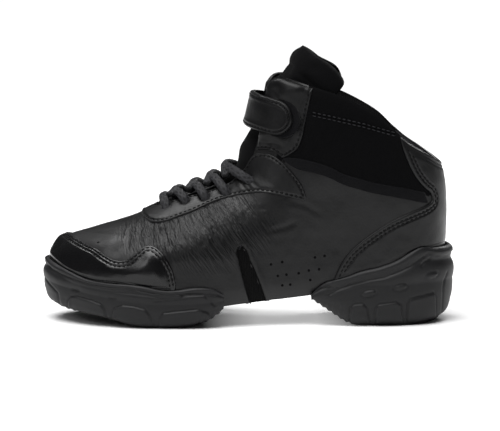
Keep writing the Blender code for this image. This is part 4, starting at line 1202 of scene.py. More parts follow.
def turned_in(row, count):
    """The leather turned in under the foot, from the feather edge towards the centre line."""
    x, z = row[:, 0], row[:, 2]
    low = front_x(bed_z(x)) + TOE_SPINE
    spine_x = np.minimum(np.maximum(x, low), back_x(z) - HEEL_SPINE)
    spine = np.stack([spine_x, middle_y(spine_x, z), z], axis=-1)
    reach = np.linalg.norm(spine - row, axis=1)
    place = x_place(x)
    arch = ease((place - 0.37) / 0.05) * (1 - ease((place - 0.68) / 0.05))
    share = np.minimum(1.0, MARGIN / np.maximum(reach, 1e-6))
    share = np.minimum(share + (1 - share) * arch, 1 - 0.0004 / np.maximum(reach, 1e-6))
    rows = []
    for inward in np.linspace(1, 0, count + 1)[:-1]:
        points = row + (spine - row) * (share * inward)[:, None]
        points[:, 2] = bed_z(points[:, 0])
        rows.append(points)
    return np.array(rows)


def blend_sides(x, z, y_off, side):
    """Relief of one side that meets the other side's at the middle of the shoe."""
    fade = step(np.abs(y_off), 0.0, 0.007)
    return relief(x, z, side) * fade + relief(x, z, 0) * (1 - fade)


def wall_normals(points, other, throat):
    """Outward normals of one side of the upper, carried over to the other side where they meet."""
    wide = np.pad(points, ((1, 1), (1, 1), (0, 0)), mode="reflect", reflect_type="odd")
    wide[1:-1, 0], wide[1:-1, -1] = other[:, 1], other[:, -2]
    wide[-1, 1 : throat + 2] = other[-2, : throat + 1]
    normal = unit(np.cross(wide[1:-1, 2:] - wide[1:-1, :-2], wide[2:, 1:-1] - wide[:-2, 1:-1]))
    if (normal[..., 1] * points[..., 1]).sum() < 0:
        normal = -normal
    seam = np.zeros(points.shape[:2], bool)
    seam[:, 0] = seam[:, -1] = seam[-1, : throat + 1] = True
    normal[seam, 1] = 0.0
    for _ in range(2):
        normal = unit(np.where(seam[..., None], normal, calmed(normal)))
    return normal


UPPER_COLUMNS, UPPER_ROWS, MARGIN_ROWS = 301, 117, 12
ON_WALL, ON_LINING, ON_SUEDE, ON_PAINTED_LIT = range(4)  # which of the upper's materials a face wears; the last is the pale lining leather, painted lit


def upper_mesh():
    """The upper as one wall: creased leather outside, suede round the collar, padded lining inside, with a pale
    strip behind the heel as painted light.
    """
    columns = upper_columns(UPPER_COLUMNS)
    throat = 2 * int(round(np.argmin(np.abs(columns - COLUMN_THROAT)) / 2))
    columns[throat] = COLUMN_THROAT
    edge = upper_edge(columns)
    foot_x = place_x(smooth(FAN["column"], FAN["foot"], columns))
    foot = np.stack([foot_x, bed_z(foot_x)], axis=1)
    climb = np.sin(np.linspace(0, 1, UPPER_ROWS) * math.pi / 2) ** 1.15
    front_z = foot[0, 1] + (edge[0, 1] - foot[0, 1]) * climb
    back_z = foot[-1, 1] + (edge[-1, 1] - foot[-1, 1]) * climb
    flat = foot[None] * (1 - climb[:, None, None]) + edge[None] * climb[:, None, None]
    shift_front, shift_back = front_x(front_z) - flat[:, 0, 0], back_x(back_z) - flat[:, -1, 0]
    flat[..., 0] += shift_front[:, None] * (1 - columns[None]) ** 2 + shift_back[:, None] * columns[None] ** 2
    sides = {}
    for side in (-1, 1):
        points = on_form(flat, side)
        middle = middle_y(flat[..., 0], flat[..., 1])
        points[:, 0, 1], points[:, -1, 1] = middle[:, 0], middle[:, -1]
        points[-1, : throat + 1, 1] = middle[-1, : throat + 1]
        sides[side] = np.concatenate([turned_in(points[0], MARGIN_ROWS), points])
    sides = {side: [sides[side], wall_normals(sides[side], sides[-side], throat)] for side in (-1, 1)}
    band, flap_back, front = fine_line(BINDING_TOP), fine_line(FLAP_BACK), fine_line(COUNTER_FRONT[9:])
    verts, faces, paint, start = [], [], [], 0
    for side in (-1, 1):
        points, ups = sides[side]
        x, z = points[..., 0], points[..., 2]
        wall = (np.arange(len(points)) >= MARGIN_ROWS)[:, None]
        lift = np.where(wall, blend_sides(x, z, points[..., 1] - middle_y(x, z), side), 0.0)
        top_gap = collar_gap(x, z)
        behind = step(x, place_x(SUEDE_START), 0.012) * wall
        lift = lift - behind * COLLAR_DROP * np.clip(1 - top_gap / COLLAR_ROLL, 0, 1) ** 2
        pad = behind * COLLAR_PAD * step(top_gap, 0.0, 0.007) * (1 - step(top_gap, 0.024, 0.022))
        top = points + ups * lift[..., None]
        under = points - ups * (WALL + pad)[..., None]
        pair, made, kinds = shell_mesh(top, under, start, ("first_column", "last_column"), throat // 2)
        verts.append(pair)
        above = (z - np.interp(x, band[:, 0], band[:, 1]))[:-1, :-1]
        low_x, low_z = x[:-1, :-1], z[:-1, :-1]
        ahead = np.interp(low_z, flap_back[:, 1], flap_back[:, 0]) - 0.004
        counter = np.interp(low_z, front[:, 1], front[:, 0]) + 0.002
        counter = np.where(low_z > COUNTER_TOP[0][1] * HEIGHT, place_x(0.872), counter)
        suede = (above > -SUEDE_HIDDEN) & (low_x > ahead) & (low_x < counter) & wall[:-1]
        paint += np.where(suede, ON_SUEDE, ON_WALL).reshape(-1).tolist()
        cells = (top.shape[0] - 1) * (top.shape[1] - 1)
        centre = np.array([np.mean([pair[k - start] for k in face], axis=0) for face in made[cells:]])
        at = centre[:, 0]
        dressed = (at > place_x(SUEDE_START)) & (at < place_x(SUEDE_END))
        rim_paint = np.where(dressed, ON_SUEDE, ON_WALL)
        # painted light: the lining near the collar behind the heel wears the pale, painted-lit leather
        painted_lit = (collar_gap(at, centre[:, 2]) < PAINTED_LIT_HEIGHT) & (at > place_x(SUEDE_END))
        lining_paint = np.where(painted_lit, ON_PAINTED_LIT, ON_LINING)
        paint += np.where(np.array(kinds[cells:]) == 1, lining_paint, rim_paint).tolist()
        faces += made
        start += len(pair)
    return np.concatenate(verts), faces, paint


# The soles' side relief, in millimetres: outlines of raised blocks, and lines of channels.
FORE_LUGS = [
    [(-209.8, -9.0), (-209.8, 14.0), (-207.8, 17.6), (-204.0, 18.0), (-194.7, 16.4)]
    + [(-188.5, 14.6), (-185.8, 11.1), (-185.0, 5.6), (-184.6, -9.0)],
    [(-181.2, -9.0), (-180.7, 9.2), (-179.3, 12.8), (-174.0, 14.6), (-167.0, 14.2)]
    + [(-159.9, 12.4), (-156.7, 8.3), (-155.4, 2.9), (-155.0, -9.0)],
    [(-151.2, -9.0), (-150.6, 6.5), (-148.3, 10.1), (-139.5, 11.1), (-126.2, 12.4)]
    + [(-120.0, 10.1), (-118.2, 7.4), (-117.6, -9.0)],
]
HEEL_LUGS = [
    [(-30.2, -9.0), (-29.5, 12.6), (-27.0, 14.2), (-21.9, 14.6), (-19.4, 11.9), (-18.0, 2.3), (-17.8, -9.0)],
    [(-13.4, -9.0), (-13.7, 11.9), (-12.0, 14.0), (-1.1, 15.7), (2.3, 14.0), (3.4, 2.3), (3.6, -9.0)],
    [(6.0, -9.0), (6.8, 14.3), (8.1, 17.1), (23.7, 20.2), (24.6, 17.1), (25.3, 3.0), (25.5, -9.0)],
]
FORE_GROOVE = [(-226.7, 37.7), (-220.6, 33.0), (-206.8, 29.5), (-195.5, 27.0), (-182.9, 25.9)]
FORE_GROOVE += [(-170.3, 26.0), (-155.3, 22.9), (-139.4, 22.3), (-122.7, 22.0), (-115.6, 14.6)]
HEEL_GROOVE = [(-43.1, 20.4), (-38.3, 23.3), (-28.9, 27.0), (-16.9, 30.0), (-8.6, 31.4), (-1.2, 34.5)]
HEEL_GROOVE += [(7.6, 38.3), (14.5, 42.8), (20.1, 46.1), (26.1, 44.3), (31.4, 43.3), (37.0, 44.2)]
HEEL_BUTTONS = [(-18.1, 21.4), (2.2, 25.4), (22.1, 31.8)]
BUTTON_TILT = math.radians(12)
HEEL_SLIT = [(15.4, 38.4), (17.4, 40.6), (20.9, 42.4)]
HEEL_WRAP = [(32.7, 32.3), (30.7, 27.5), (30.0, 23.4), (29.5, 1.9)]
TOE_WRAP = [(-225.8, 26.4), (-216.9, 19.1), (-216.0, 11.9), (-215.4, 1.0)]
DIMPLES = [[(-181.9, 19.2), (-178.4, 19.2)], [(-153.6, 18.0), (-148.5, 18.0)], [(-206.5, 22.5), (-202.5, 22.3)]]
TOOTH = 2.4  # from tooth to tooth along the lower edge
NOTCH = 4.2  # from notch to notch in the underside
NOTCH_DEPTH = 0.0011
BAR = 6.2  # from groove to groove of the tread
BAR_DEPTH = 0.0009
SOLE_SECTIONS, SOLE_LEVELS, TREAD_ROWS = 190, 56, 15
SOLE_THINNEST = 0.0014  # of its wall over what it covers


def inside_distance(x, z, polygon):
    """Distance inside a closed outline, positive inside and negative outside."""
    closed = polygon + polygon[:1]
    gap = to_line(x, z, closed)
    inside = np.zeros(np.shape(x), bool)
    for (ax, az), (bx, bz) in zip(closed, closed[1:]):
        crosses = ((az > z) != (bz > z)) & (x < (bx - ax) * (z - az) / ((bz - az) or 1e-12) + ax)
        inside ^= crosses
    return np.where(inside, gap, -gap)


def carved(x, z, lines, width, depth):
    """A rounded channel along side-view lines."""
    gap = np.min([to_line(x, z, rows) for rows in lines], axis=0)
    return -depth * bell(gap, 0.0, width)


def raised(x, z, outlines, height, edge):
    """Raised blocks with rounded edges and a fine channel round them."""
    inside = np.max([inside_distance(x, z, rows) for rows in outlines], axis=0)
    return height * quarter(inside / edge) - 0.55 * bell(inside, -0.4, 0.5)


def sole_relief(word, x, z):
    """Relief on a sole's side in metres, by its place in the side view."""
    a, b = x / MM, z / MM
    if word == "fore":
        rise = raised(a, b, FORE_LUGS, 0.75, 1.0)
        rise = rise + carved(a, b, [FORE_GROOVE], 0.55, 0.80) + carved(a, b, [TOE_WRAP], 0.6, 0.6)
        rise = rise + carved(a, b, DIMPLES, 0.8, 0.6)
        teeth = step(b, 4.2, -3.0) * step(a, -150.0, 4.0)
    else:
        rise = raised(a, b, HEEL_LUGS, 0.85, 1.0)
        rise = rise + carved(a, b, [HEEL_GROOVE], 0.55, 0.75) + carved(a, b, [HEEL_WRAP], 0.6, 0.6)
        rise = rise + carved(a, b, [HEEL_SLIT], 0.6, 0.9)
        for at_x, at_z in HEEL_BUTTONS:
            along = (a - at_x) * math.cos(BUTTON_TILT) + (b - at_z) * math.sin(BUTTON_TILT)
            over = (b - at_z) * math.cos(BUTTON_TILT) - (a - at_x) * math.sin(BUTTON_TILT)
            far = np.hypot(along / 3.9, over / 1.7)
            rise = rise + 0.8 * np.sqrt(np.clip(1 - far**4, 0, 1)) - 0.35 * bell(far, 1.25, 0.18)
        teeth = step(b, 4.6, -3.0) * (step(a, 20.0, 4.0) + step(a, -22.0, -4.0))
    return (rise - 0.35 * teeth * (0.5 + 0.5 * np.sin(a * 2 * math.pi / TOOTH))) * MM


def sole_mesh(word, shape, first, last, round_end):
    """A cupped sole with its side's relief: rings from the tread's middle over the side into its well."""
    part = np.linspace(0, 1, SOLE_SECTIONS) ** 1.6
    place = first + (last - first) * part
    bottom = np.maximum(smooth(shape["place"], shape["bottom"], place), 0.0) * HEIGHT
    edge_x = place_x(place) / MM
    saw = 1 - np.abs((edge_x / NOTCH) % 1 - 0.5) * 2
    if word == "fore":
        notched = step(edge_x, -132.0, 6.0) + 0.6 * (1 - step(edge_x, -214.0, 8.0))
    else:
        notched = 1 - step(edge_x, -27.0, 4.0)
    bottom = bottom + NOTCH_DEPTH * saw * notched
    lip = smooth(shape["place"], shape["lip"], place) * HEIGHT
    flare = smooth(shape["place"], shape["flare"], place) * BALL_WIDTH
    seat = ease(smooth(shape["place"], shape["seat"], place))
    inner_lift = CLEARANCE + (LEATHER + CLEARANCE) * seat
    rise = np.linspace(0, 1, SOLE_LEVELS) ** 1.12
    z = bottom[:, None] + (lip - bottom)[:, None] * rise[None]
    out = flare[:, None] * smooth(SOLE_SIDE["rise"][1:], SOLE_SIDE["out"][1:], rise)[None]
    keep = (inner_lift + SOLE_THINNEST)[:, None] * step(rise, 0.62, 0.16)[None]
    out = np.maximum(out, keep)
    out = out - (0.0011 * np.clip((rise - 0.965) / 0.035, 0, 1) ** 2)[None]
    plain_side = sole_points(part, place, z, out, first, last, round_end)
    shown = step(rise, 0.02, 0.06)[None] * (1 - step(rise, 0.955, 0.04))[None]
    out = out + sole_relief(word, plain_side[..., 0], z) * shown
    out = out - (0.0016 * np.clip(1 - rise / 0.05, 0, 1) ** 2)[None]
    side = sole_points(part, place, z, out, first, last, round_end)
    middle = middle_y(plain_side[..., 3], plain_side[..., 2])
    well = []
    for share, lift in ((1.0, 0.0), (0.6, -0.0004), (0.2, -0.0006)):
        low = (bed_z(place_x(place)) * (1 - share) + lip * share)[:, None]
        lifts = (inner_lift * share + lift)[:, None]
        well.append(sole_points(part, place, low, lifts, first, last, round_end)[:, 0])
    bed = well[-1].copy()
    bed[:, 2] = bed_z(bed[:, 0]) - CURVE_CLEARANCE
    bed[:, 1] = np.maximum(bed[:, 1] - 0.004, 0.0)
    well = np.stack(well + [bed], axis=1)
    tread = []
    for share in np.linspace(0, 1, TREAD_ROWS + 1)[:-1]:
        point = side[:, 0].copy()
        point[:, 1] *= share
        bars = np.abs(((point[:, 0] / MM + 0.25 * (point[:, 1] / MM)) % BAR) - BAR / 2)
        inner = step(np.array([1 - share]), 0.10, 0.10)[0] * step(part, 0.05, 0.05) * (1 - step(part, 0.93, 0.05))
        point[:, 2] += BAR_DEPTH * step(0.9 - bars, 0.0, 0.5) * inner
        tread.append(point)
    half = np.concatenate([np.stack(tread, axis=1), side, well], axis=1)
    parts = [np.repeat(middle[:, :1], len(tread), axis=1), middle, middle_y(well[..., 3], well[..., 2])]
    centre = np.concatenate(parts, axis=1)
    centre[:, -1] = centre[:, -2]
    outer = np.stack([half[..., 0], centre - half[..., 1], half[..., 2]], axis=-1)
    inner = np.stack([half[..., 0], centre + half[..., 1], half[..., 2]], axis=-1)
    bed_middle = outer[:, -1:].copy()
    bed_middle[:, 0, 1] = centre[:, -1]
    ring = np.concatenate([outer, bed_middle, inner[:, ::-1][:, :-1]], axis=1)
    index = np.arange(ring.shape[0] * ring.shape[1]).reshape(ring.shape[:2])
    return ring.reshape(-1, 3), rings(index) + [index[-1].tolist()]


def sole_points(part, place, z, out, first, last, round_end):
    """Points at heights on the upper's own contour, moved outwards, as (x, half width, height, x before)."""
    x_ref = place_x(place)[:, None]
    level = np.maximum(z, bed_z(x_ref) + 0.004)
    edge = front_x(level) if round_end < 0 else back_x(level)
    origin, far = place_x(first), place_x(last)
    x = edge + (x_ref - origin) * (far - edge) / (far - origin)
    near = 0.0004
    slope = (half_width(x + near, level) - half_width(x - near, level)) / (2 * near)
    width = np.where(part[:, None] > 0, half_width(x, level), 0.0)
    size = np.hypot(slope, 1.0)
    nx = np.where(part[:, None] > 0, -slope / size, float(round_end))
    ny = np.where(part[:, None] > 0, 1.0 / size, 0.0)
    return np.stack([x + nx * out, np.maximum(width + ny * out, 0.0), z + 0 * x, x], axis=-1)


TONGUE_ROWS, TONGUE_COLUMNS = 130, 71
TONGUE_CORNER = 0.0060  # how far its corners lie under its top
TONGUE_STUFFING = 0.0008  # how far the stuffed top swells, without its bumps
TONGUE_CHANNEL = 0.0009  # depth of the seam under its top and at its sides
TONGUE_BELLY = 0.0026  # how far it bulges between the flaps


def tongue_mesh():
    """The tongue as a padded strip round the instep, with a bumpy stuffed top and bound edges."""
    rows, up = np.stack([TONGUE["place"], TONGUE["height"]], axis=1), np.linspace(0, 1, TONGUE_ROWS)
    spine = line(rows, up)
    run = np.gradient(spine, axis=0)
    run /= np.hypot(run[:, 0], run[:, 1])[:, None]
    place = x_place(spine[:, 0])
    half = smooth(TONGUE["place"], TONGUE["half"], place) * SHAFT_WIDTH / 2
    wrap = smooth(TONGUE["place"], TONGUE["wrap"], place) * SHAFT_WIDTH
    pad = smooth(TONGUE["place"], TONGUE["pad"], place)
    sink = smooth(TONGUE["place"], TONGUE["sink"], place) * WALL
    from_top = 1 - up
    half = half * (0.76 + 0.24 * quarter(from_top / 0.075))
    thick = TONGUE_LINING + (TONGUE_TOP_PAD - TONGUE_LINING) * pad
    thick = thick * (0.35 + 0.65 * quarter(from_top / 0.03))
    inward = np.stack([run[:, 1], 0 * run[:, 0], -run[:, 0]], axis=1)
    turns = np.sin(np.linspace(-1, 1, TONGUE_COLUMNS) * math.pi / 2 * 0.97) / math.sin(math.pi / 2 * 0.97)
    angle = turns * math.pi / 2
    back = wrap[:, None] * (1 - np.cos(angle))[None]
    mid = np.stack([spine[:, 0], middle_y(spine[:, 0], spine[:, 1]), spine[:, 1]], axis=1)
    outer = mid[:, None] + inward[:, None] * (back + sink[:, None])[..., None]
    outer[..., 1] += half[:, None] * np.sin(angle)[None]
    across = -np.sin(angle) + 0 * half[:, None]
    normal = unit(np.stack([inward[:, 0:1] * np.cos(angle), across, inward[:, 2:3] * np.cos(angle)], axis=-1))
    side = np.abs(turns)[None]
    thin = thick[:, None] * (1 - 0.55 * side**3) * (0.25 + 0.75 * np.sqrt(1 - side**8))
    inner = outer + normal * thin[..., None]
    up = up[:, None]
    along = np.stack([run[:, 0], 0 * run[:, 0], run[:, 1]], axis=1)[:, None]
    corner = np.clip((side - 0.80) / 0.20, 0, 1)
    uneven = 0.0007 * side * (1 + np.sin(turns * 13 + 0.6))[None] - 0.0008
    slide = (TONGUE_CORNER * (1 - np.sqrt(1 - corner**2)) + uneven) * step(up, 0.72, 0.28)
    outer = outer - along * slide[..., None]
    inner = inner - along * slide[..., None]
    stuffed = step(up, 0.52, 0.16) * (1 - 0.8 * step(up, 0.97, 0.03))
    swell = 0.0006 * waves(outer, 0.021, 21) + 0.0002 * waves(outer, 0.0095, 22)
    channel = bell(up, 0.905, 0.012) + 0.8 * bell(side, 0.90, 0.022)
    calm = 1 - step(side, 0.45, 0.55)
    belly = TONGUE_BELLY * bell(up, 0.50, 0.06)
    lift = (stuffed * (TONGUE_STUFFING + swell) - TONGUE_CHANNEL * channel + belly) * calm
    return outer - normal * lift[..., None], inner


def strap_lines(across_list):
    """Where lines of the strap cross the shin line, with the way from there to its end, and their heading."""
    back = np.array([math.cos(STRAP_FALL), -math.sin(STRAP_FALL)])
    up = np.array([math.sin(STRAP_FALL), math.cos(STRAP_FALL)])
    rows = []
    for across in across_list:
        end = np.array([place_x(STRAP_END[0]), STRAP_END[1] * HEIGHT]) + up * across
        steps = np.linspace(0, 0.08, 800)
        line_x, line_z = end[0] - back[0] * steps, end[1] - back[1] * steps
        meet = int(np.argmax(line_x < np.interp(line_z, RIDGE_Z, RIDGE_X)))
        rows.append((end - back * steps[meet], steps[meet]))
    return rows, back


def side_run(origin, back, start, stop, side, lift, count):
    """A line of the strap along one side, off the plain form."""
    t = np.linspace(start, stop, count)
    points, normal = form_points(origin[0] + back[0] * t, origin[1] + back[1] * t, side)
    return points + normal * lift


def strap_grid():
    """The whole strap's under face: inner end, loop ahead of the shin, outer side and round end."""
    radius = STRAP_WIDTH / 2
    lift = CURVE_CLEARANCE * 3 + LEATHER * 2
    turns = np.sin(np.linspace(-1, 1, 33) * math.pi / 2)
    found, back = strap_lines(radius * turns)
    lines = []
    for turn, (origin, reach) in zip(turns, found):
        tip = reach + radius * math.sqrt(max(1 - turn**2, 0.0))
        sides = {}
        for side, stop, count in ((1, STRAP_SEAT, 22), (-1, tip, 52)):
            sides[side] = side_run(origin, back, STRAP_LEAVES, stop, side, lift, count)
        flat = origin - back * STRAP_LOOP
        ahead = np.array([flat[0], 0.0, flat[1]])
        loop = []
        for side in (1, -1):
            leave, after = sides[side][0], sides[side][1]
            heading = (leave - after) / np.linalg.norm(leave - after) * np.linalg.norm(leave - ahead) * 1.1
            crest = np.array([0.0, side, 0.0]) * np.linalg.norm(leave - ahead) * 1.1
            t = np.linspace(0, 1, 19)[1:, None]
            a, b = 2 * t**3 - 3 * t**2 + 1, t**3 - 2 * t**2 + t
            c, d = 3 * t**2 - 2 * t**3, t**3 - t**2
            loop.append(leave * a + heading * b + ahead * c - crest * d)
        lines.append(np.concatenate([sides[1][::-1], loop[0], loop[1][:-1][::-1], sides[-1]]))
    return np.array(lines)


def instep(place, across, lift):
    """A point over the instep, its distance from the middle line and its height over the form, and its normal."""
    x, z = ridge_at(place)
    shape = smooth(LAST["place"], LAST["top_round"], place) * HEIGHT
    points = []
    for y in (across, across + math.copysign(0.0005, across)):
        drop = unrounded(abs(y) / full_width(x, z)) * shape
        px = float(x + drop * np.interp(x, RIDGE_X, RIDGE_NX))
        pz = float(z + drop * np.interp(x, RIDGE_X, RIDGE_NZ))
        points.append(np.array([px, float(middle_y(px, pz)) + y, pz]))
    outward = np.array([-np.interp(x, RIDGE_X, RIDGE_NX), 0, -np.interp(x, RIDGE_X, RIDGE_NZ)])
    along = np.array([outward[2], 0, -outward[0]])
    normal = np.cross(points[1] - points[0], along)
    normal /= np.linalg.norm(normal)
    if normal @ outward < 0:
        normal = -normal
    return points[0] + normal * lift, normal


def lace_path(first, last, side, rise):
    """One run of the lace from under the throat's edge, over the middle, and down into the next eyelet."""
    here, there = EYELETS[first], EYELETS[last]
    over = CLEARANCE * 2 + LEATHER + LACE / 2
    start = throat_half_gap(place_x(here)) - LACE * 0.75
    stop = throat_half_gap(place_x(there)) + EYELET_INSET
    halfway = (rise + over) / 2 + 0.0010
    shares = (0.0, 0.30, 0.52, 0.72, 0.93, 1.0, 1.07)
    lifts = (rise, rise, halfway, over + 0.0010, over, over - 0.0012, over - 0.0045)
    points, ups = [], []
    for t in np.concatenate([np.linspace(-0.04, 0.9, 26), np.linspace(0.92, 1.07, 9)]):
        y = side * (start + (-stop - start) * t)
        lift = smooth(shares, lifts, max(t, 0.0))
        place = here + LACE_STEP + (there - here - LACE_STEP) * t
        point, up = instep(place, y if abs(y) > 1e-5 else 1e-5, float(lift))
        points.append(point)
        ups.append(up)
    return np.array(points), np.array(ups)


def cord_mesh(points, ups, width, thick, start):
    """A flat-oval braided cord through points, closed at both ends, with its length and turn as UV."""
    run = run_of(points)
    count, around = max(int(run[-1] / CORD_STEP), 8), 28
    at = np.linspace(0, run[-1], count)
    path = np.stack([smooth(run, points[:, j], at) for j in range(3)], axis=1)
    up = at_run(at, run, ups)
    along = unit(np.gradient(path, axis=0))
    up = unit(up - along * (up * along).sum(axis=1, keepdims=True))
    sideways = np.cross(up, along)
    turn = np.arange(around) / around * 2 * math.pi
    shape_y, shape_z = np.cos(turn), np.sin(turn)
    bulge = np.sign(shape_z) * np.abs(shape_z) ** 0.8
    strand = np.sin(turn[None] * 6 + at[:, None] * 2 * math.pi / BRAID)
    cross = np.sin(turn[None] * 6 - at[:, None] * 2 * math.pi / BRAID)
    weave = BRAID_DEPTH * np.where(np.sin(at[:, None] * math.pi / (BRAID / 2)) > 0, strand, cross)
    size = 1 + 0.02 * np.sin(at * 2 * math.pi / 0.019)
    wide = (width / 2 * size)[:, None] * shape_y[None] + weave * shape_y
    high = (thick / 2 * size)[:, None] * bulge[None] + weave * shape_z
    ring = path[:, None] + sideways[:, None] * wide[..., None]
    ring = ring + up[:, None] * high[..., None]
    index = start + np.arange(count * around).reshape(count, around)
    faces = rings(index) + [index[0].tolist(), index[-1][::-1].tolist()]
    uv = np.stack(np.broadcast_arrays(at[:, None] / 0.01, turn[None] / (2 * math.pi)), axis=-1).reshape(-1, 2)
    return ring.reshape(-1, 3), faces, uv


INSOLE_ROWS, INSOLE_COLUMNS = 91, 31
INSOLE_THICK = 0.004
INSOLE_NARROWEST = 0.0025  # half its width at both ends


def insole_mesh():
    """A flat insole on the turned-in margin, with a softly rounded edge."""
    inset, low = WALL * 1.5 + 0.0010, WALL + CURVE_CLEARANCE
    lo = float(front_x(0.15 * HEIGHT)) + inset + 0.004
    hi = float(back_x(0.17 * HEIGHT)) - inset - 0.003
    part = (1 - np.cos(np.linspace(0, math.pi, INSOLE_ROWS))) / 2
    x = lo + (hi - lo) * part
    width = np.maximum(half_width(x, bed_z(x) + low) - inset, 0.0)
    width = width * rounded(np.minimum(part, 1 - part) * (hi - lo) / 0.012)
    width = np.maximum(width, INSOLE_NARROWEST)
    across = np.sin(np.linspace(-1, 1, INSOLE_COLUMNS) * math.pi / 2)
    y = middle_y(x, bed_z(x) + low)[:, None] + width[:, None] * across[None]
    crown = INSOLE_THICK * (0.55 + 0.45 * np.sqrt(1 - across**2))
    top = np.stack([x[:, None] + 0 * y, y, (bed_z(x) + low)[:, None] + crown[None]], axis=-1)
    under = top.copy()
    under[..., 2] = (bed_z(x) + low)[:, None]
    return top, under


def gusset_halves():
    """The elastic strip from its top on the outer side, under the arch, to its top on the inner side."""
    shares, across = np.linspace(0, 1, 49), np.linspace(0, 1, 13)
    front, back = line(GUSSET_FRONT, shares), line(GUSSET_BACK, shares)
    flat = front[:, None] * (1 - across[None, :, None]) + back[:, None] * across[None, :, None]
    halves = []
    for side in (-1, 1):
        points = on_form(flat, side)
        lift = relief(flat[..., 0], flat[..., 1], side)
        spine = points[0].copy()
        spine[:, 1] = middle_y(points[0, :, 0], points[0, :, 2])
        under = []
        for share in np.linspace(1, 0, 9)[:-1]:
            row = points[0] * (1 - share) + spine * share
            row[:, 2] = bed_z(row[:, 0])
            under.append(row)
        halves.append((np.concatenate([under, points]), np.concatenate([np.zeros((len(under), 13)), lift])))
    points = np.concatenate([halves[0][0][::-1], halves[1][0][1:]])
    lift = np.concatenate([halves[0][1][::-1], halves[1][1][1:]])
    return points, lift


WHITE = (1.0, 1.0, 1.0, 1.0)
PAINTED_ARCH_LIGHT = 0.42  # painted light: how strongly the paper glows round the shoe's middle, lightening the shade under the arch
BACK_LIGHT = 0.07  # the world's light on the shoe
BACK_SEEN = 1.2  # and behind it, as the camera sees it
LIGHTS = (
    ("overhead", "SUN", (-0.35, -0.45, 1.6), math.radians(50), 3.6),
    ("ridge", "AREA", (-0.52, 0.49, 1.07), 0.35, 3.2),
    ("front left", "AREA", (-0.85, -0.95, 0.75), 0.36, 1.7),
    ("rear", "AREA", (0.45, 0.85, 0.8), 0.5, 6.0),
)
PIXEL = 0.6455e-3  # metres that one pixel of the picture covers at the shoe
PICTURE_WIDE = 500  # pixels
PICTURE_X = -0.0936  # the picture's middle
PICTURE_Z = (319 - 215.5) * PIXEL  # from the floor's row up to the middle row
CAMERA_FAR = 1.8
CAMERA_TILT = math.radians(6.5)
SENSOR = 36.0


def colour_property(name, description, code):
    return FloatVectorProperty(name=name, description=description, subtype="COLOR", default=srgb(code))


def length_property(name, description, default):
    return FloatProperty(name=name, description=description, unit="LENGTH", default=default)


class SneakerLooks(PropertyGroup):
    """Sizes and colours of the sneaker's finish that a user would change."""

    leather: colour_property("Leather", "Dyed leather of the panels", "#060607")
    suede: colour_property("Suede", "Collar and tongue", "#060607")
    rubber: colour_property("Rubber", "Both soles", "#0e0e10")
    thread: colour_property("Thread", "Sewing thread", "#0b0b0c")
    lace: colour_property("Lace", "Braided lace", "#242427")
    gloss: FloatProperty(
        name="Leather roughness", description="Lower is glossier", subtype="FACTOR", default=0.40, min=0.1, max=0.9
    )
    stitch_length: length_property("Stitch", "Length of one stitch", 0.0024)
    stitch_pitch: length_property("Pitch", "From stitch to stitch", 0.0031)
    thread_width: length_property("Thread width", "Thickness of the thread", 0.0008)
    lace_width: length_property("Lace width", "Width of the flat lace", 0.0056)
    lace_thickness: length_property("Lace thickness", "Thickness of the flat lace", 0.0034)


def looks_of(context):
    return context.scene.sneaker_looks


class SNEAKER_OT_upper(Operator):
    """Model the creased upper with its suede collar and lining"""

    bl_idname = "sneaker.upper"
    bl_label = "Upper"

    def execute(self, context):
        looks = looks_of(context)
        skin = finishes(looks)
        verts, faces, paint = upper_mesh()
        parts = [skin[key] for key in ("wall", "lining", "suede", "inside")]
        piece("upper_wall", verts, faces, parts, ["upper"], paint)
        paths = []
        for side in (-1, 1):
            for shift in (-1.05, 1.05):
                rows = [(a * MM, (b + shift) * MM) for a, b in SUEDE_STITCH]
                xs = np.linspace(rows[0][0], rows[-1][0], 60)
                zs = np.interp(xs, [r[0] for r in rows], [r[1] for r in rows])
                paths.append(surface(xs, zs, side, 0.0001))
        stitches("collar_stitches", paths, looks, "pale thread")
        return {"FINISHED"}


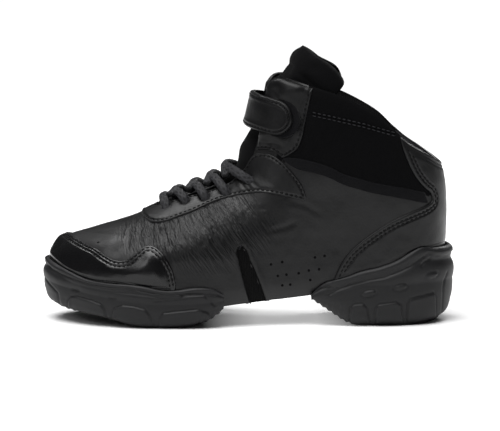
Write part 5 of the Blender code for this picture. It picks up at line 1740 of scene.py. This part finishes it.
class SNEAKER_OT_panels(Operator):
    """Sew the leather panels on the upper: toe cap, eyestay and heel counter"""

    bl_idname = "sneaker.panels"
    bl_label = "Panels"

    def execute(self, context):
        looks = looks_of(context)
        skin = finishes(looks)
        front = [(float(x_place(front_x(h * HEIGHT))), h) for h in (0.212, 0.240, 0.267, 0.290)] + [CAP_TOP[0]]
        front[0] = CAP_FOOT[0]
        tail = [CAP_FOOT[-1], (0.328, 0.150), CAP_TOP[-1]]
        grid = panel_grid(front, tail, CAP_FOOT, CAP_TOP, 151, 49, True)

        def bulge(points, gap):
            at_x, at_z = CAP_BULGE
            far = np.hypot((points[..., 0] - at_x) / 0.013, (points[..., 2] - at_z) / 0.011)
            return CAP_BULGE_HEIGHT * bell(far, 0.0, 1.0) * step(gap, 0.0030, 0.008)

        both, slot = (-1, 1), "full_grain_leather"
        paths = dressed_panel(
            "toe_cap_leather", grid, both, LEATHER, 0.0012, CAP_SEAMS, skin["cap"], slot, ["toe_cap"], swell=bulge
        )
        places = THROAT_FRONT - 0.002 + (THROAT_TOP - THROAT_FRONT + 0.002) * np.linspace(0, 1, 9) ** 1.2
        inner = [throat_edge(place) for place in places]
        inner = [(float(x_place(x)), float(z) / HEIGHT) for x, z in inner]
        front = [EYESTAY_FOOT[0], (0.262, 0.406), inner[0]]
        tail = [EYESTAY_FOOT[-1], (0.636, 0.460), EYESTAY_TAIL[-1]]
        grid = panel_grid(front, tail, EYESTAY_FOOT, inner + EYESTAY_TAIL, 201, 61, True)

        def eyelets(points, gap):
            depth = np.zeros(gap.shape)
            for at in eyelet_points():
                depth -= EYELET_DENT * bell(np.linalg.norm(points - at, axis=-1), 0.0, EYELET_SPREAD)
            for width, deep, rows in STAY_CREASES:
                fold = to_line(points[..., 0], points[..., 2], metres(rows)) / (width * MM)
                depth -= deep * MM * fold_shape(fold, 0.3)
            return depth

        leather, edges = skin["leather"], "first_row last_row"
        paths += dressed_panel(
            "eyestay_leather", grid, both, LEATHER, 0.0010, STAY_SEAMS, leather, slot, ["eyestay"], edges, eyelets
        )
        heights = np.linspace(COUNTER_FOOT[-1][1], COUNTER_TOP[-1][1], 9)
        back = [(float(x_place(back_x(h * HEIGHT))), h) for h in heights]
        grid = panel_grid(back, COUNTER_FRONT, COUNTER_FOOT[::-1], COUNTER_TOP[::-1], 91, 101, True)
        name, edges = "heel_counter_leather", "first_column last_column"
        paths += dressed_panel(
            name, grid, both, LEATHER, 0.0012, COUNTER_SEAMS, leather, slot, ["heel_counter"], edges
        )
        stitches("panel_stitches", paths, looks)
        return {"FINISHED"}


def eyelet_points():
    """Where the lace goes into the eyestay."""
    spots = []
    for place in EYELETS:
        reach = throat_half_gap(place_x(place)) + EYELET_INSET
        spots += [instep(place, side * float(reach), LEATHER)[0] for side in (-1, 1)]
    return spots


class SNEAKER_OT_flaps(Operator):
    """Roll the padded ankle flaps and lay the brushed bands under the collar"""

    bl_idname = "sneaker.flaps"
    bl_label = "Ankle flaps"

    def execute(self, context):
        looks = looks_of(context)
        skin = finishes(looks)
        high = [(0.583, 0.6045), (0.600, 0.6065)] + BINDING_TOP + [(0.918, 0.480)]
        lower = [(place, height - BINDING_WIDTH / HEIGHT) for place, height in BINDING_TOP]
        low = [(0.581, 0.5990), (0.598, 0.580)] + lower + [(0.928, 0.438)]
        ends = [[low[k], high[k]] for k in (0, -1)]
        paths = []
        for side, word in ((-1, "outer"), (1, "inner")):
            grid = panel_grid(FLAP_FRONT, FLAP_BACK, FLAP_FOOT, FLAP_TOP, 81, 101, False)
            points = on_form(grid, side)
            ups = normals(points)
            lift = relief(grid[..., 0], grid[..., 1], side)
            free = np.concatenate([points[:, 0], points[-1]])
            sewn = np.concatenate([points[:, -1], points[0]])
            roll_gap, sewn_gap = distance_to(points, free), distance_to(points, sewn)
            roll = quarter(roll_gap / FLAP_ROLL)
            puff = FLAP_PUFF * roll * (0.45 + 0.55 * (1 - step(roll_gap, 0.006, 0.016)))
            puff = puff * step(sewn_gap, 0.001, 0.009)
            flat = rolled(sewn_gap, LEATHER, 0.0011) * np.clip(roll_gap / 0.002, 0, 1)
            wrinkle = 0.00035 * waves(points, 0.012, 31) * step(roll_gap, 0.002, 0.01)
            height = np.maximum(flat, puff) + 0.25 * np.minimum(flat, puff) + wrinkle
            height = height + groove(sewn_gap, FLAP_SEAM, SEAM_WIDTH, 0.00035)
            top = points + ups * (lift + height)[..., None]
            tuck = FLAP_TUCK * roll * (1 - step(roll_gap, 0.006, 0.006))
            under = points - ups * (tuck + 0.0002)[..., None]
            node = "ankle_flap_" + word
            flap = sheet(node + "_leather", top, under, skin["strap"], "full_grain_leather", [node])
            for edge in ("last_column", "first_row"):
                found = level_line(top, ups, sewn_gap, FLAP_SEAM, edge)
                if len(found[0]) > 3:
                    paths.append(found)
            grid = panel_grid(*ends, low, high, 181, 15, False)
            node = "collar_band_" + word
            dressed_panel(node + "_suede", grid, (side,), 0.0007, 0.0008, (), skin["band"], "suede", [node])
        stitches("flap_stitches", paths, looks)
        return {"FINISHED"}


class SNEAKER_OT_gusset(Operator):
    """Weave the elastic strip in its slots, with a bartack at its top"""

    bl_idname = "sneaker.gusset"
    bl_label = "Elastic strip"

    def execute(self, context):
        looks = looks_of(context)
        skin = finishes(looks)
        points, lift = gusset_halves()
        ups = normals(points)
        across = np.linspace(0, 1, points.shape[1])[None]
        ribs = GUSSET_RIB * np.abs(np.sin(across * math.pi * GUSSET_RIBS)) + 0 * lift
        top = points + ups * (lift + GUSSET_THICK + ribs)[..., None]
        under = points + ups * (lift - 0.0003)[..., None]
        sheet("stretch_gusset_knit", top, under, skin["elastic"], "knit_elastic", ["stretch_gusset"])
        paths = []
        for side in (-1, 1):
            for shift in np.linspace(-0.0011, 0.0011, 6):
                xs = np.linspace(place_x(0.475), place_x(0.4855), 5)
                zs = np.full(5, 0.289 * HEIGHT + 0.0002) + shift
                paths.append(surface(xs, zs, side, 0.0003))
        stitches("bartacks", paths, looks, "pale thread")
        return {"FINISHED"}


class SNEAKER_OT_soles(Operator):
    """Mould both rubber soles with their lugs, buttons and channels"""

    bl_idname = "sneaker.soles"
    bl_label = "Soles"

    def execute(self, context):
        skin = finishes(looks_of(context))
        for word, shape, first, last, end, node in (
            ("fore", FOREFOOT, 0.0, 0.440, -1, "sole_forefoot"),
            ("heel", HEEL, 1.0, 0.650, 1, "sole_heel"),
        ):
            verts, faces = sole_mesh(word, shape, first, last, end)
            piece(node + "_rubber", verts, faces, [skin["rubber"]], [node])
        return {"FINISHED"}


class SNEAKER_OT_tongue(Operator):
    """Stuff the tongue and lay the insole"""

    bl_idname = "sneaker.tongue"
    bl_label = "Tongue and insole"

    def execute(self, context):
        skin = finishes(looks_of(context))
        outer, inner = tongue_mesh()
        index = np.arange(outer.shape[0] * outer.shape[1]).reshape(outer.shape[:2])
        other = index + index.size
        ring = np.concatenate([index, other[:, ::-1], index[:, :1]], axis=1)
        faces = quads(ring)
        paint = ([0] * outer.shape[1] + [1] * (outer.shape[1] - 1) + [0]) * (outer.shape[0] - 1)
        for k in (0, -1):
            cap = quads(np.stack([index[k], other[k]]))
            faces += cap
            paint += [0] * len(cap)
        verts = np.concatenate([outer.reshape(-1, 3), inner.reshape(-1, 3)])
        tongue = piece("tongue_suede", verts, faces, [skin["suede"], skin["lining"]], ["tongue"], paint)
        sheet("insole_knit", *insole_mesh(), skin["lining"], "knit_elastic", ["insole"])
        return {"FINISHED"}


class SNEAKER_OT_strap(Operator):
    """Lay the ankle strap round the shaft and the patch under its end"""

    bl_idname = "sneaker.strap"
    bl_label = "Strap"

    def execute(self, context):
        looks = looks_of(context)
        skin = finishes(looks)
        base = strap_grid()
        ups = normals(base)
        gap = distance_to(base, outline(base))
        height = STRAP_THICKNESS * (0.25 + 0.75 * quarter(gap / 0.0013))
        height = height + groove(gap, STRAP_SEAM, 0.0006, SEAM_DEPTH) + 0.00025 * bell(gap, 0.0034, 0.0009)
        height = height + 0.00018 * waves(base, 0.02, 41)
        top = base + ups * height[..., None]
        sheet("ankle_strap_leather", top, base, skin["strap"], "full_grain_leather", ["ankle_strap"])
        edges = ("first_row", "last_row", "last_column", "first_column")
        paths = [level_line(top, ups, gap, STRAP_SEAM, edge) for edge in edges]
        stitches("strap_stitches", [path for path in paths if len(path[0]) > 3], looks)
        lift = CURVE_CLEARANCE * 2 + LEATHER
        turns = np.sin(np.linspace(-1, 1, 25) * math.pi / 2)
        found, back = strap_lines(PATCH_HALF * turns)
        rows = []
        for turn, (origin, reach) in zip(turns, found):
            stop = reach + PATCH_REACH + PATCH_ROUND * math.sqrt(max(1 - turn**2, 0.0))
            rows.append(side_run(origin, back, PATCH_START, stop, -1, lift, 41))
        base = np.array(rows)
        ups = normals(base)
        gap = distance_to(base, outline(base))
        top = base + ups * rolled(gap, LEATHER, 0.0008)[..., None]
        sheet("strap_patch_suede", top, base - ups * 0.0006, skin["band"], "suede", ["strap_patch"])
        return {"FINISHED"}


class SNEAKER_OT_laces(Operator):
    """Braid the lace: a bar at the first eyelets and four crossings"""

    bl_idname = "sneaker.laces"
    bl_label = "Laces"

    def execute(self, context):
        looks = looks_of(context)
        skin = finishes(looks)
        over = CLEARANCE * 2 + LEATHER + LACE / 2
        stop = float(throat_half_gap(place_x(EYELETS[0]))) + EYELET_INSET
        points, ups = [], []
        for y in np.linspace(-stop * 1.22, stop * 1.22, 30):
            drop = max(abs(y) / stop - 0.82, 0.0) / 0.4
            point, up = instep(EYELETS[0], y, over - 0.0050 * drop**1.5)
            points.append(point)
            ups.append(up)
        runs = {"lace_bar": [(np.array(points), np.array(ups))]}
        for row in range(len(EYELETS) - 1):
            low = lace_path(row, row + 1, 1, LACE_LOW)
            high = lace_path(row, row + 1, -1, LACE_LOW + LACE * 0.8)
            runs["lace_cross_%d" % (row + 1)] = [low, high]
        for name, paths in runs.items():
            verts, faces, uvs, start = [], [], [], 0
            for points, ups in paths:
                made, found, uv = cord_mesh(points, ups, looks.lace_width, looks.lace_thickness, start)
                verts.append(made)
                faces += found
                uvs.append(uv)
                start += len(made)
            verts, uvs = np.concatenate(verts), np.concatenate(uvs)
            piece(name + "_cord", verts, faces, [skin["cord"]], [name], uv=uvs)
        return {"FINISHED"}


class SNEAKER_OT_pinholes(Operator):
    """Lay a matte near-black disc, painted shade, on each air hole at the arch and each pinhole on the vamp"""

    bl_idname = "sneaker.pinholes"
    bl_label = "Pinholes"

    def execute(self, context):
        skin = finishes(looks_of(context))
        verts, faces, start, around = [], [], 0, 12
        turn = np.arange(around)[:, None] / around * 2 * math.pi
        turn_x, turn_y = np.cos(turn), np.sin(turn)
        for side in (-1, 1):
            for a, b in PERFORATIONS:
                at, up = surface(a * MM, b * MM, side, 0.0)
                at, up = at[0], up[0]
                ahead = np.cross(up, [0, 0, 1.0])
                ahead /= np.linalg.norm(ahead)
                over = np.cross(up, ahead)
                for radius, rise in PINHOLE:
                    verts.append(at + up * rise + radius * (ahead * turn_x + over * turn_y))
                index = start + np.arange(len(PINHOLE) * around).reshape(-1, around)
                faces += rings(index) + [index[0][::-1].tolist(), index[-1].tolist()]
                start += index.size
        # painted shade: the discs wear the dark, matte hole finish
        piece("pinholes", np.concatenate(verts), faces, [skin["hole"]])
        return {"FINISHED"}


class SNEAKER_OT_stage(Operator):
    """Set the pale floor, which glows under the arch as painted light, the soft lights and the camera"""

    bl_idname = "sneaker.stage"
    bl_label = "Stage"

    def execute(self, context):
        scene = context.scene
        bpy.ops.object.select_all(action="DESELECT")
        bpy.ops.mesh.primitive_plane_add(size=60.0, location=(-0.1, 0.0, -0.0002))
        floor = context.object
        floor.name = "floor"
        material, tree, shader, place = fresh("Matte paper, painted light under the arch")
        # painted light: the paper glows round the shoe's middle and fades out further away, lightening the shade
        # under the arch
        away = length(tree, mapped(tree, place, Location=(-0.55, 0.0, 0.0), Scale=(18.0, 6.0, 1.0)))
        matte = {"Base Color": (0.92, 0.92, 0.92, 1.0), "Roughness": 0.6, "Specular IOR Level": 0.0}
        matte["Emission Color"] = WHITE
        shade(tree, shader, {"Emission Strength": ranged(tree, away, 0.35, 1.0, PAINTED_ARCH_LIGHT, 0.0)}, matte)
        floor.data.materials.append(material)
        world = bpy.data.worlds.new("Studio")
        world.use_nodes = True
        tree = world.node_tree
        seen = add(tree, "ShaderNodeLightPath").outputs["Is Camera Ray"]
        strength = ranged(tree, seen, BACK_LIGHT, BACK_SEEN)
        shade(tree, tree.nodes["Background"], {"Strength": strength}, {"Color": WHITE})
        scene.world = world
        middle = Vector((PICTURE_X, 0.0, 0.07))
        for name, kind, place, size, power in LIGHTS:
            data = bpy.data.lights.new(name, kind)
            data.energy = power
            if kind == "SUN":
                data.angle = size
            else:
                data.size = size
            light = bpy.data.objects.new(name, data)
            scene.collection.objects.link(light)
            light.location = place
            light.rotation_euler = (middle - Vector(place)).to_track_quat("-Z", "Y").to_euler()
        target = Vector((PICTURE_X, 0.0, PICTURE_Z))
        data = bpy.data.cameras.new("camera")
        camera = bpy.data.objects.new("camera", data)
        scene.collection.objects.link(camera)
        heading = Vector((0, -math.cos(CAMERA_TILT), math.sin(CAMERA_TILT)))
        camera.location = target + heading * CAMERA_FAR
        camera.rotation_euler = (target - camera.location).to_track_quat("-Z", "Y").to_euler()
        data.sensor_width, data.sensor_fit, data.clip_start = SENSOR, "HORIZONTAL", 0.01
        data.lens = SENSOR * (CAMERA_FAR / PIXEL) / PICTURE_WIDE
        scene.camera = camera
        scene.view_settings.view_transform = "Standard"
        return {"FINISHED"}


class SNEAKER_PT_panel(Panel):
    bl_label = "Dance Sneaker"
    bl_idname = "SNEAKER_PT_panel"
    bl_space_type = "VIEW_3D"
    bl_region_type = "UI"
    bl_category = "Sneaker"

    def draw(self, context):
        looks = looks_of(context)
        for key in SneakerLooks.__annotations__:
            self.layout.prop(looks, key)
        for step_class in STEPS:
            self.layout.operator(step_class.bl_idname)


STEPS = (
    SNEAKER_OT_stage,
    SNEAKER_OT_upper,
    SNEAKER_OT_panels,
    SNEAKER_OT_flaps,
    SNEAKER_OT_gusset,
    SNEAKER_OT_soles,
    SNEAKER_OT_tongue,
    SNEAKER_OT_strap,
    SNEAKER_OT_laces,
    SNEAKER_OT_pinholes,
)


def register():
    for each in (SneakerLooks, *STEPS, SNEAKER_PT_panel):
        bpy.utils.register_class(each)
    bpy.types.Scene.sneaker_looks = PointerProperty(type=SneakerLooks)


def unregister():
    del bpy.types.Scene.sneaker_looks
    for each in (SNEAKER_PT_panel, *reversed(STEPS), SneakerLooks):
        bpy.utils.unregister_class(each)


def main():
    register()
    for name in ("stage", "upper", "panels", "flaps", "gusset", "soles", "tongue", "strap", "laces", "pinholes"):
        getattr(bpy.ops.sneaker, name)()
    bpy.context.view_layer.update()


if __name__ == "__main__":
    main()
